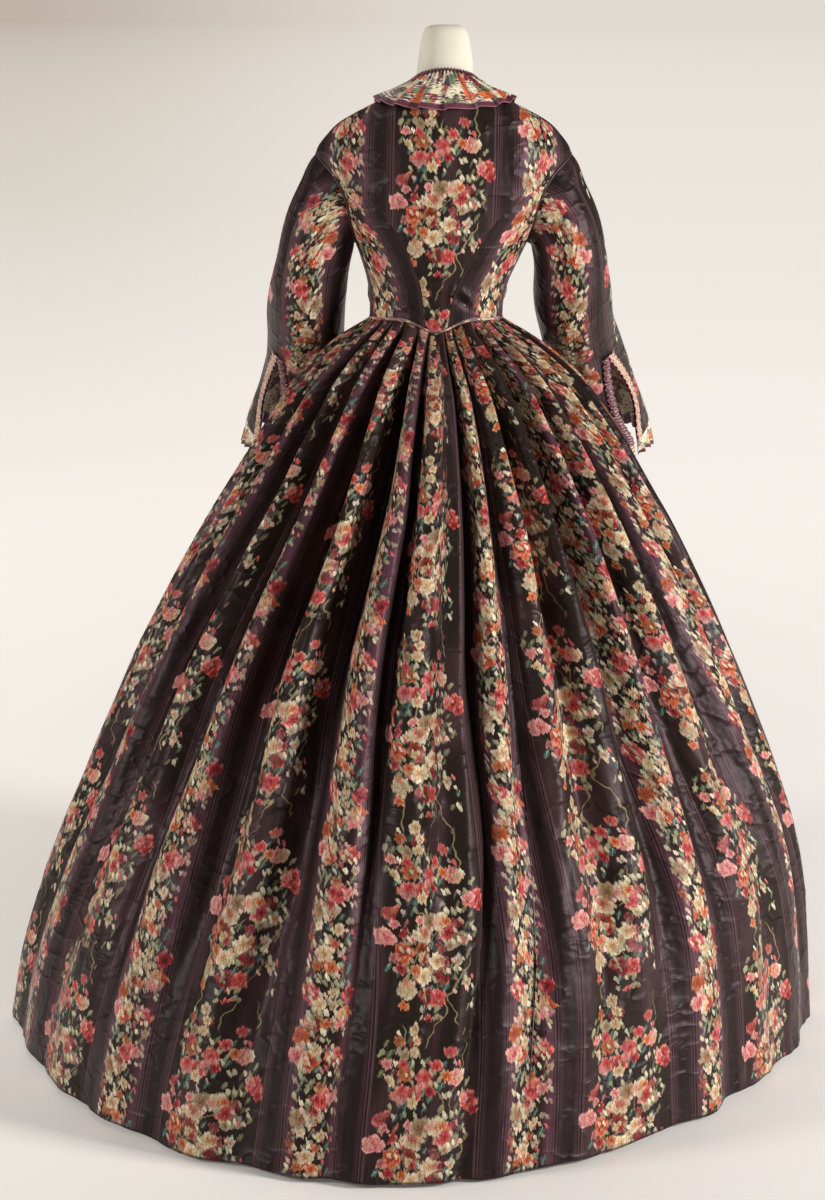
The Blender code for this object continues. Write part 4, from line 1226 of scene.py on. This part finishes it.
# Sleeves, in rings from the armhole to the mouth: centre out from the middle line, behind the
# axis and up, half width across and fore to aft, the slope of the line across, and how far both
# sleeves swing to the wearer's right
sleeve = {
    "outerSeam": 45.0,
    "innerSeam": 195.0,
    "slitTop": 5.5,
    "slitWidest": 7.6,
    "slitHalf": 0.017,
    "slitHalfAtMouth": 0.004,
    # rows of points in the head of the sleeve and below it
    "rows": (14, 96),
    "halves": {
        "upper": {"columns": 84, "flat": (0.30, 0.46)},
        "under": {"columns": 60, "flat": (0.22, 0.42)},
    },
    # the print: the angle where the narrow stripe lies on each sleeve's back, the cloth's metres
    # to the degree, and the place of the mouth along the cloth
    "stripe": {"left": 86.0, "right": 101.0},
    "perDegree": 0.001075,
    "mouthPlace": 0.54,
    # a round radius, for the places of folds and crinkles
    "radius": 0.062,
    "foldDepth": 1.5,
    "crinkle": 0.0015,
    "shape": table("ring out behind up across deep slope swing", [
        (0, 0.158, 0.000, 1.2340, 0.0720, 0.052, 65.0, 0.000),
        (1, 0.172, 0.000, 1.2080, 0.0620, 0.055, 50.0, -0.001),
        (2, 0.184, -0.002, 1.1780, 0.0570, 0.058, 30.0, -0.002),
        (3, 0.193, -0.010, 1.1380, 0.0555, 0.060, 14.0, -0.003),
        (4, 0.200, -0.032, 1.0850, 0.0585, 0.062, 3.0, -0.005),
        (5, 0.207, -0.078, 1.0350, 0.0590, 0.063, 0.0, -0.009),
        (6, 0.216, -0.123, 0.9920, 0.0600, 0.063, 0.0, -0.012),
        (7, 0.224, -0.158, 0.9500, 0.0650, 0.066, 0.0, -0.014),
        (8, 0.232, -0.184, 0.9080, 0.0710, 0.071, 0.0, -0.015),
        (9, 0.241, -0.212, 0.8680, 0.0770, 0.076, 0.0, -0.015),
    ]),
    # soft folds: their ends in metres round the sleeve and down from the armhole, width and height
    "folds": table("u0 v0 u1 v1 width height", [
        (0.085, 0.02, 0.105, 0.16, 0.008, 0.0024), (0.040, 0.01, 0.050, 0.12, 0.007, -0.0022),
        (0.125, 0.03, 0.120, 0.13, 0.007, -0.0020), (-0.030, 0.02, -0.020, 0.15, 0.008, 0.0022),
        (-0.080, 0.02, -0.070, 0.12, 0.008, -0.0022), (0.060, 0.15, 0.120, 0.21, 0.008, 0.0024),
        (0.050, 0.19, 0.110, 0.24, 0.008, -0.0022), (-0.110, 0.16, -0.050, 0.20, 0.009, 0.0024),
        (-0.100, 0.20, -0.040, 0.24, 0.008, -0.0020), (0.140, 0.17, 0.180, 0.22, 0.008, 0.0020),
        (0.150, 0.26, 0.160, 0.38, 0.010, 0.0024), (-0.060, 0.26, -0.065, 0.40, 0.010, -0.0024),
        (-0.130, 0.24, -0.135, 0.36, 0.010, 0.0022), (0.100, 0.24, 0.108, 0.36, 0.009, -0.0020),
    ]),
}
lastRing = float(sleeve["shape"]["ring"][-1])


def sleeveRing(side, ring):
    up = along(sleeve["shape"], "up", ring)
    x = lean(up) + along(sleeve["shape"], "swing", ring) + side * along(sleeve["shape"], "out", ring)
    return joined(x, body["axisY"] + along(sleeve["shape"], "behind", ring), up)


def sleeveTube(side, angle, ring):
    shape = sleeve["shape"]
    centre = sleeveRing(side, ring)
    ahead = sleeveRing(side, np.minimum(ring + 0.5, lastRing))
    path = unit(ahead - sleeveRing(side, np.maximum(ring - 0.5, 0.5)))
    slope = np.radians(along(shape, "slope", ring))
    across = joined(side * np.cos(slope), 0 * slope, np.sin(slope))
    deep = unit(np.cross(across, path)) * side
    a = np.radians(angle)
    return (
        centre
        + across * (along(shape, "across", ring) * np.cos(a))[..., None]
        + deep * (along(shape, "deep", ring) * np.sin(a))[..., None]
    )


def sleevePoint(side, angle, ring):
    # angle 0 is the outer side of the sleeve, 90 its back and 180 the side at the body
    angle, ring = np.broadcast_arrays(np.asarray(angle, float), np.asarray(ring, float))
    tube = sleeveTube(side, angle, ring)
    if ring.min() >= 1:
        return tube
    one = np.ones_like(ring)
    piping = armholePoint(side, angle, pipingInset)
    first = sleeveTube(side, angle, one)
    tangent = unit(armholePoint(side, angle + 3, pipingInset) - armholePoint(side, angle - 3, pipingInset))
    away = unit(first - piping)
    away = away + np.array([side, 0.0, 0.0]) * np.maximum(-cosine(angle), 0.0)[..., None]
    away = unit(away - tangent * (tangent * away).sum(axis=-1, keepdims=True))
    out = unit(np.cross(tangent, away))
    out = turnedTo(out, piping - sleeveRing(side, 0 * ring))
    start = piping + away * pipingInset + out * cloth["modelWall"] / 2
    reach = np.linalg.norm(first - start, axis=-1, keepdims=True)
    leave = unit(away + out * 0.25) * reach
    arrive = (sleeveTube(side, angle, one + 0.1) - first) / 0.1
    arrive = unit(arrive) * np.minimum(np.linalg.norm(arrive, axis=-1, keepdims=True), reach)
    t = np.clip(ring, 0, 1)[..., None]
    head = (
        (2 * t**3 - 3 * t**2 + 1) * start + (t**3 - 2 * t**2 + t) * leave
        + (-2 * t**3 + 3 * t**2) * first + (t**3 - t**2) * arrive
    )
    return np.where((ring < 1)[..., None], head, tube)


def slitHalf(ring):
    gap = cloth["seamGap"] / 2
    top, widest, half = sleeve["slitTop"], sleeve["slitWidest"], sleeve["slitHalf"]
    opening = half * np.sin(np.pi / 2 * np.clip((ring - top) / (widest - top), 0, 1)) + gap
    part = (ring - widest) / (lastRing - widest)
    closing = half + (sleeve["slitHalfAtMouth"] - half) * ease(part)
    return np.where(ring <= top, gap, np.where(ring <= widest, opening, closing))


def toAngle(distance, ring):
    return np.degrees(distance / along(sleeve["shape"], "across", ring))


def sleeveNormal(side, angle, ring):
    low = np.maximum(ring - 0.1, 0.0)
    high = np.minimum(ring + 0.1, lastRing)
    around = sleevePoint(side, angle + 3, ring) - sleevePoint(side, angle - 3, ring)
    down = sleevePoint(side, angle, high) - sleevePoint(side, angle, low)
    return turnedTo(unit(np.cross(around, down)), sleevePoint(side, angle, ring) - sleeveRing(side, ring))


def orderedSheet(name, points, out, u, v, wall):
    # mirrors a grid's columns where its faces would point against `out`
    middle = points.shape[0] // 2
    across = points[middle, 1:] - points[middle, :-1]
    up = points[middle + 1] - points[middle]
    if (np.cross(up[:-1], across) * out[middle, :-1]).sum() < 0:
        points, u, v = points[:, ::-1], u[:, ::-1], v[:, ::-1]
    return sheetMesh(name, points, u, v, wall)


def makeSleeves():
    head, rest = sleeve["rows"]
    rings = np.concatenate([np.linspace(0, 1, head + 1)[:-1], np.linspace(1, lastRing, rest + 1)])
    slit = toAngle(slitHalf(rings), rings)
    gap = toAngle(cloth["seamGap"] / 2 + 0 * rings, rings)
    for side, word in sides:
        for half, spec in sleeve["halves"].items():
            if half == "upper":
                start, end = sleeve["innerSeam"] - 360.0, sleeve["outerSeam"]
                first, last = start + gap, end - slit
            else:
                start, end = sleeve["outerSeam"], sleeve["innerSeam"]
                first, last = start + slit, end - gap
            count = spec["columns"]
            part = np.linspace(0, 1, count + 1)
            angle = first[:, None] + (last - first)[:, None] * part
            ring = np.broadcast_to(rings[:, None], angle.shape)
            points = sleevePoint(side, angle, ring)
            out = sleeveNormal(side, angle, ring)
            middle = count // 2
            run = lengthUp(points)
            u = lengthAcross(points, middle)
            v = run - run[-1] + run[-1, middle]
            # folds and crinkles, held flat at the seams, the armhole and the mouth
            reach = np.radians(angle) * sleeve["radius"]
            edge = np.minimum(part, 1 - part) * count
            held = rising(edge, 0.0, 8.0) * rising(ring, 0.0, 0.5) * ease(lastRing - ring)
            folds = creased(reach, run, sleeve["folds"]) * held
            crinkles = softNoise(reach / 0.030, run / 0.055, 51 + (side > 0))
            press = sleeve["foldDepth"] * folds + sleeve["crinkle"] * crinkles * held
            points = points + out * press[..., None]
            # the narrow stripe lies on the sleeve's back, and the outer seam in the dark beside it
            cut = silk["period"] / 2 + ((start + end) / 2 - sleeve["stripe"][word]) * sleeve["perDegree"]
            name = f"sleeve_{half}_{word}"
            piece = orderedSheet(f"{name}_silk", points[::-1], out[::-1], side * (u[::-1] + cut),
                                 sleeve["mouthPlace"] - v[::-1], cloth["wall"])
            dress(piece, printSilk, "silk_print", name)


# Ruched bands along both edges of the open seam, gathered along both of their own edges
trim = {
    "above": 0.15,
    "width": 0.012,
    "wall": 0.0009,
    "modelWall": 0.0012,
    "ribs": 30,
    "rowsPerRib": 8,
    "columns": 8,
    "ribHeight": 0.0018,
    "uneven": 0.9,
    "flutter": 0.0010,
    "room": 0.0009,
    # metres of cloth gathered into one
    "gathered": 1.9,
    "flat": (0.014, 0.24),
}


def makeTrims():
    steps = trim["ribs"] * trim["rowsPerRib"]
    rings = np.linspace(sleeve["slitTop"] - trim["above"], lastRing, steps + 1)
    ring, part = np.meshgrid(rings, np.linspace(0, 1, trim["columns"] + 1), indexing="ij")
    patches = np.linspace(0, 22, steps + 1)
    for side, word in sides:
        for sign, place in ((-1, "front"), (1, "back")):
            uneven = trim["uneven"] * softNoise(patches, 0 * patches + 0.5, 61 + (side > 0))
            phase = 2 * np.pi * (trim["ribs"] * np.linspace(0, 1, steps + 1)) + uneven
            rib = (0.5 - 0.5 * np.cos(phase))[:, None] ** 0.8
            crown = rib * np.sin(np.pi * np.clip(part, 0, 1)) ** 0.55
            flutter = trim["flutter"] * np.sin(phase * 0.5 + 1.3)[:, None] * (np.abs(part - 0.5) > 0.45)
            away = slitHalf(ring) + cloth["seamGap"] + trim["width"] * part + flutter * np.sign(part - 0.5)
            angle = sleeve["outerSeam"] + sign * toAngle(away, ring)
            out = sleeveNormal(side, angle, ring)
            lift = cloth["seamGap"] + trim["modelWall"] + trim["room"] + trim["ribHeight"] * crown
            points = sleevePoint(side, angle, ring) + out * lift[..., None]
            run = lengthUp(points)[:, trim["columns"] // 2][:, None] + 0 * part
            name = f"sleeve_trim_{place}_{word}"
            piece = orderedSheet(f"{name}_ruche", points, out, run * trim["gathered"], trim["width"] * part,
                                 trim["wall"])
            dress(piece, creamRuche if place == "front" else plumRuche, "silk_trim", name)
            print("dress:", piece.name, "area", round(flatArea(points), 5))


frill = {
    "waves": 28,
    "columnsPerWave": 12,
    "rows": 14,
    "wave": 0.0044,
    "tilt": 0.0012,
    "drop": 0.034,
    # the sleeve is cut longer in front, and the frill falls with it
    "longer": 1.25,
    "front": 300.0,
    # how much of the printed border shows
    "printed": 0.045,
    "flat": (0.050, 0.64),
}


def makeFrills():
    count = frill["waves"] * frill["columnsPerWave"]
    openHalf = float(toAngle(sleeve["slitHalfAtMouth"], lastRing))
    first = sleeve["outerSeam"] + openHalf
    last = sleeve["outerSeam"] + 360.0 - openHalf
    drop, k = np.meshgrid(np.linspace(1, 0, frill["rows"] + 1), np.arange(count + 1), indexing="ij")
    angle = first + (last - first) * k / count
    ring = 0 * angle + lastRing
    phase = 2 * np.pi * frill["waves"] * k / count + 1.2 * softNoise(k / 30.0, 0 * k + 0.5, 71)
    depth = frill["wave"] * (0.10 + 0.90 * drop) * (0.75 + 0.25 * softNoise(k / 14.0, 0 * k + 2.5, 72))
    wave = depth * np.sin(phase)
    tilt = frill["tilt"] * drop * np.cos(phase)
    fall = cloth["seamGap"] + frill["drop"] * drop * (1 + 0.06 * softNoise(k / 20.0, 0 * k + 4.5, 73))
    fall = fall * (1 + frill["longer"] * np.maximum(cosine(angle - frill["front"]), 0.0))
    for side, word in sides:
        down = unit(sleeveRing(side, np.array(lastRing)) - sleeveRing(side, np.array(lastRing - 0.5)))
        out = sleeveNormal(side, angle, ring)
        around = unit(sleevePoint(side, angle + 1, ring) - sleevePoint(side, angle - 1, ring))
        points = sleevePoint(side, angle, ring) + down * fall[..., None] + out * wave[..., None]
        points = points + around * tilt[..., None]
        u = lengthAcross(points, 0)[0][None, :] + 0 * drop
        v = frill["printed"] * (1 - drop)
        name = f"sleeve_frill_{word}"
        piece = orderedSheet(f"{name}_silk", points, out, u, v, cloth["wall"])
        dress(piece, borderSilk, "silk_trim", name)
        print("dress:", piece.name, "area", round(flatArea(points), 5))


makeSleeves()
makeTrims()
makeFrills()
print("dress: the sleeves are set in")

# Collar: flat pleats, each laid over the next one, turned over at the neck
collar = {
    "pleats": 20,
    "columnsPerPleat": 26,
    "rows": 24,
    "end": 179.7,
    "topRadius": 0.0465,
    "top": 1.424,
    "edgeSide": 1.388,
    "edgeDrop": 0.024,
    "lift": 0.0027,
    "pleat": 0.0074,
    # the share of a pleat that rises, before it falls back under the next one
    "laid": 0.88,
    "turnOver": 0.28,
    # small crimps at the fold, gathers below it and a ruffled outer edge
    "crimps": 60,
    "crimp": 0.0012,
    "gathers": 64,
    "gather": 0.0013,
    "ruffle": 0.0010,
    "flat": (0.048, 0.80),
}


def collarPoint(turn, part):
    # part 0 is the top of the collar at the neck and 1 its outer edge
    edge = collar["edgeSide"] - collar["edgeDrop"] * np.abs(cosine(turn)) ** 1.5
    radius = collar["topRadius"] + 0 * turn
    top = ringPoint(turn, collar["top"] + 0 * turn, radius, radius, radius)
    top[..., 0] += lean(body["neckLevel"]) - lean(collar["top"])
    top[..., 2] += neckShift(turn, body["neckLevel"])
    first = collar["turnOver"]
    level = body["neckLevel"] - (body["neckLevel"] - edge) * np.maximum(part - first, 0.0) / (1 - first)
    phase = turn * collar["pleats"] / 360.0 + 0.10 * softNoise(turn / 12.0, 0 * turn + 0.5, 81)
    saw = phase - np.floor(phase)
    laid = collar["laid"]
    pleat = rising(saw, 0.0, laid) * (1 - rising(saw, laid, 1 - laid))
    lift = collar["lift"] + collar["pleat"] * part * pleat
    low = bodyPoint(turn, level) + bodyOut(turn, level) * lift[..., None]
    over = np.minimum(part / first, 1.0)
    top[..., 2] += collar["crimp"] * np.sin(np.radians(turn) * collar["crimps"]) * (1 - over)
    return top * (1 - over[..., None]) + low * over[..., None]


def makeCollar():
    count = collar["pleats"] * collar["columnsPerPleat"]
    part, k = np.meshgrid(np.linspace(1, 0, collar["rows"] + 1), np.arange(count + 1), indexing="ij")
    turn = -collar["end"] + 2 * collar["end"] * k / count
    points = collarPoint(turn, part)
    out = turnedTo(gridNormals(points), np.array([0.0, 0.0, 1.0]))
    ruffle = collar["ruffle"] * softNoise(turn / 6.0, 4 * part, 82) * part
    uneven = 1.5 * softNoise(turn / 9.0, 0 * turn + 1.5, 83)
    gathers = np.sin(np.radians(turn) * collar["gathers"] + uneven)
    ruffle += collar["gather"] * gathers * (1 - rising(part, 0.25, 0.40)) * rising(part, 0.0, 0.06)
    points = points + out * ruffle[..., None]
    v = lengthUp(points)
    u = lengthAcross(points, count // 2)[0][None, :] + 0 * v
    piece = orderedSheet("collar_frill_silk", points, out, u, v, cloth["wall"])
    dress(piece, borderSilk, "silk_trim", "collar_frill")
    print("dress: the collar lies flat, area", round(flatArea(points), 5))


makeCollar()

# Dress form: padded and covered, just inside the bodice, with a tapered neck
form = {
    "sides": 96,
    "inset": 0.0019,
    # half width of the shoulders, and how softly they reach it
    "shoulder": 0.135,
    "give": 0.016,
    # levels of its rings: first, last and how many
    "hipRings": (0.80, 1.046, 26),
    "bodyRings": (1.062, 1.406, 36),
    "uvRadius": 0.12,
    "ease": table("height ease", [
        (1.058, 0.0014), (1.080, 0.0014), (1.100, 0.0030), (1.165, 0.0050), (1.280, 0.0050),
        (1.330, 0.0030), (1.385, 0.0026), (1.410, 0.0020),
    ]),
    "hips": table("height side back front", [
        (0.800, 0.150, 0.106, 0.092), (0.860, 0.155, 0.110, 0.092), (0.930, 0.146, 0.104, 0.090),
        (0.995, 0.118, 0.090, 0.089), (1.030, 0.0985, 0.0775, 0.0920), (1.046, 0.0955, 0.0770, 0.0975),
    ]),
    # level, radius, and how much lower it is in front
    "neck": [
        (1.420, 0.0428, 0.0360), (1.430, 0.0418, 0.0280), (1.440, 0.0405, 0.0200), (1.451, 0.0384, 0.0105),
        (1.462, 0.0358, 0.0035), (1.471, 0.0334, 0.0), (1.4760, 0.0315, 0.0), (1.4795, 0.0292, 0.0),
        (1.4820, 0.0260, 0.0), (1.4837, 0.0215, 0.0), (1.4846, 0.0145, 0.0), (1.485, 0.0010, 0.0),
    ],
}


def makeForm():
    turn = np.arange(form["sides"]) * 360.0 / form["sides"]
    # the first ring is tiny, at the middle of the flat bottom
    rings = [ringPoint(turn, 0 * turn + 0.8002, *[0 * turn + 0.002] * 3)]
    for level in np.linspace(*form["hipRings"]):
        sizes = [along(form["hips"], name, level) + 0 * turn for name in ("side", "back", "front")]
        rings.append(ringPoint(turn, level + 0 * turn, *sizes))
    for level in np.linspace(*form["bodyRings"]):
        inset = form["inset"] + along(form["ease"], "ease", level)
        at = level + 0 * turn
        ring = bodyPoint(turn, at) - bodyOut(turn, at) * inset
        across = ring[:, 0] - lean(level)
        over = np.abs(across) - form["shoulder"]
        held = form["shoulder"] + form["give"] * np.tanh(np.maximum(over, 0) / form["give"])
        ring[:, 0] = np.where(over > 0, lean(level) + np.copysign(held, across), ring[:, 0])
        rings.append(ring)
    for level, radius, drop in form["neck"]:
        ring = ringPoint(turn, level + 0 * turn, *[radius + 0 * turn] * 3)
        ring[:, 2] -= drop * (1 - cosine(turn)) / 2
        rings.append(ring)
    points = np.array(rings)
    u = np.radians(turn)[None, :] * form["uvRadius"] + 0 * points[..., 0]
    piece = sheetMesh("form_torso_cover", points, u, points[..., 2], 0, closed=True)
    activate(piece)
    bpy.ops.object.mode_set(mode="EDIT")
    bpy.ops.mesh.select_all(action="SELECT")
    bpy.ops.mesh.remove_doubles(threshold=0.00001)
    bpy.ops.mesh.select_all(action="DESELECT")
    bpy.ops.mesh.select_non_manifold()
    bpy.ops.mesh.edge_face_add()
    bpy.ops.mesh.select_all(action="SELECT")
    bpy.ops.mesh.normals_make_consistent(inside=False)
    bpy.ops.object.mode_set(mode="OBJECT")
    piece.data.shade_smooth()
    piece.data.set_sharp_from_angle(angle=math.radians(50))
    dress(piece, formCover, "form_cover", "form_torso")


makeForm()
for name in ("stand_pole", "stand_base"):
    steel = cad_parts[name]
    for slot in steel.material_slots:
        slot.material = standMetal
print("dress: the form stands")


# Camera at the photograph's place, a soft key from its right, a weaker light from its left,
# a little fill, and a pale sweep that darkens into the distance and to the camera's left
view = {
    "place": (0.0, 4.137, 1.59),
    "pitch": 12.83,
    "lens": 85.5,
    # lights: place, size and power
    "key": ((-3.5, 1.8, 1.90), 1.0, 194.0),
    "side": ((3.5, 1.7, 1.90), 1.0, 80.0),
    "fill": ((2.0, 3.9, 2.2), 2.0, 6.0),
    "top": ((0.5, -0.6, 3.4), 1.6, 17.0),
    "world": (tone(246, 240, 236), 0.09),
    "aim": (0.0, 0.0, 0.75),
    "floor": 220.0,
    # the sweep's colours from near to far, at the camera's left and at its right: painted shade that darkens
    # it into the distance and to one side
    "far": 70.0,
    "left": [
        (0.0, tone(236, 230, 224)), (0.085, tone(233, 227, 220)), (0.146, tone(236, 229, 221)),
        (0.27, tone(220, 213, 202)), (0.97, tone(192, 180, 167)),
    ],
    "right": [
        (0.0, tone(212, 206, 201)), (0.085, tone(225, 219, 213)), (0.146, tone(240, 234, 228)),
        (0.27, tone(237, 231, 223)), (0.97, tone(226, 219, 209)),
    ],
}


def makeView():
    data = bpy.data.cameras.new("camera")
    data.lens = view["lens"]
    data.sensor_width = 36
    camera = bpy.data.objects.new("camera", data)
    camera.location = view["place"]
    camera.rotation_euler = (math.radians(90 - view["pitch"]), 0, math.radians(180))
    bpy.context.scene.collection.objects.link(camera)
    bpy.context.scene.camera = camera
    bpy.context.scene.view_settings.view_transform = "Standard"
    for name in ("key", "side", "fill", "top"):
        place, size, power = view[name]
        data = bpy.data.lights.new(f"{name} light", "AREA")
        data.shape = "DISK"
        data.size = size
        data.energy = power
        light = bpy.data.objects.new(f"{name} light", data)
        light.location = place
        aim = Vector(view["aim"]) - light.location
        light.rotation_euler = aim.to_track_quat("-Z", "Y").to_euler()
        bpy.context.scene.collection.objects.link(light)
    world = bpy.data.worlds.new("pale room")
    world.use_nodes = True
    background = world.node_tree.nodes["Background"]
    background.inputs[0].default_value = view["world"][0]
    background.inputs[1].default_value = view["world"][1]
    bpy.context.scene.world = world
    deselect()
    bpy.ops.mesh.primitive_circle_add(vertices=96, radius=view["floor"], fill_type="NGON")
    floor = bpy.context.view_layer.objects.active
    floor.name = "floor"
    material, tree, shader = newMaterial("pale floor", 0.9)
    x, y, _ = apart(tree, objectPlace(tree))
    away = vectorMath(tree, "LENGTH", pair(tree, x, y))["Value"]
    # less of its own light before the dress, where the lamps reach
    before = calc(tree, "MINIMUM", calc(tree, "MAXIMUM", y, 0.0), 4.0)
    gone = timesPlus(tree, before, -2.0, plus(tree, view["place"][1], away))
    sideways = calc(tree, "DIVIDE", x, calc(tree, "MAXIMUM", gone, 1.0))
    share = calc(tree, "DIVIDE", gone, view["far"], clamp=True)
    # painted shade: the sweep darkens into the distance, more to one side
    left = ramp(tree, share, view["left"])
    right = ramp(tree, share, view["right"])
    colour = blend(tree, step(tree, sideways, 0.15, -0.03), left, right)
    tree.links.new(colour, shader.inputs["Base Color"])
    # the lamps fade with distance, so the far sweep gets a light of its own
    tree.links.new(colour, shader.inputs["Emission Color"])
    own = times(tree, step(tree, share, 0.03, 0.12), 0.90)
    tree.links.new(own, shader.inputs["Emission Strength"])
    floor.data.materials.append(material)


makeView()
print("dress: the camera and the lights are set")
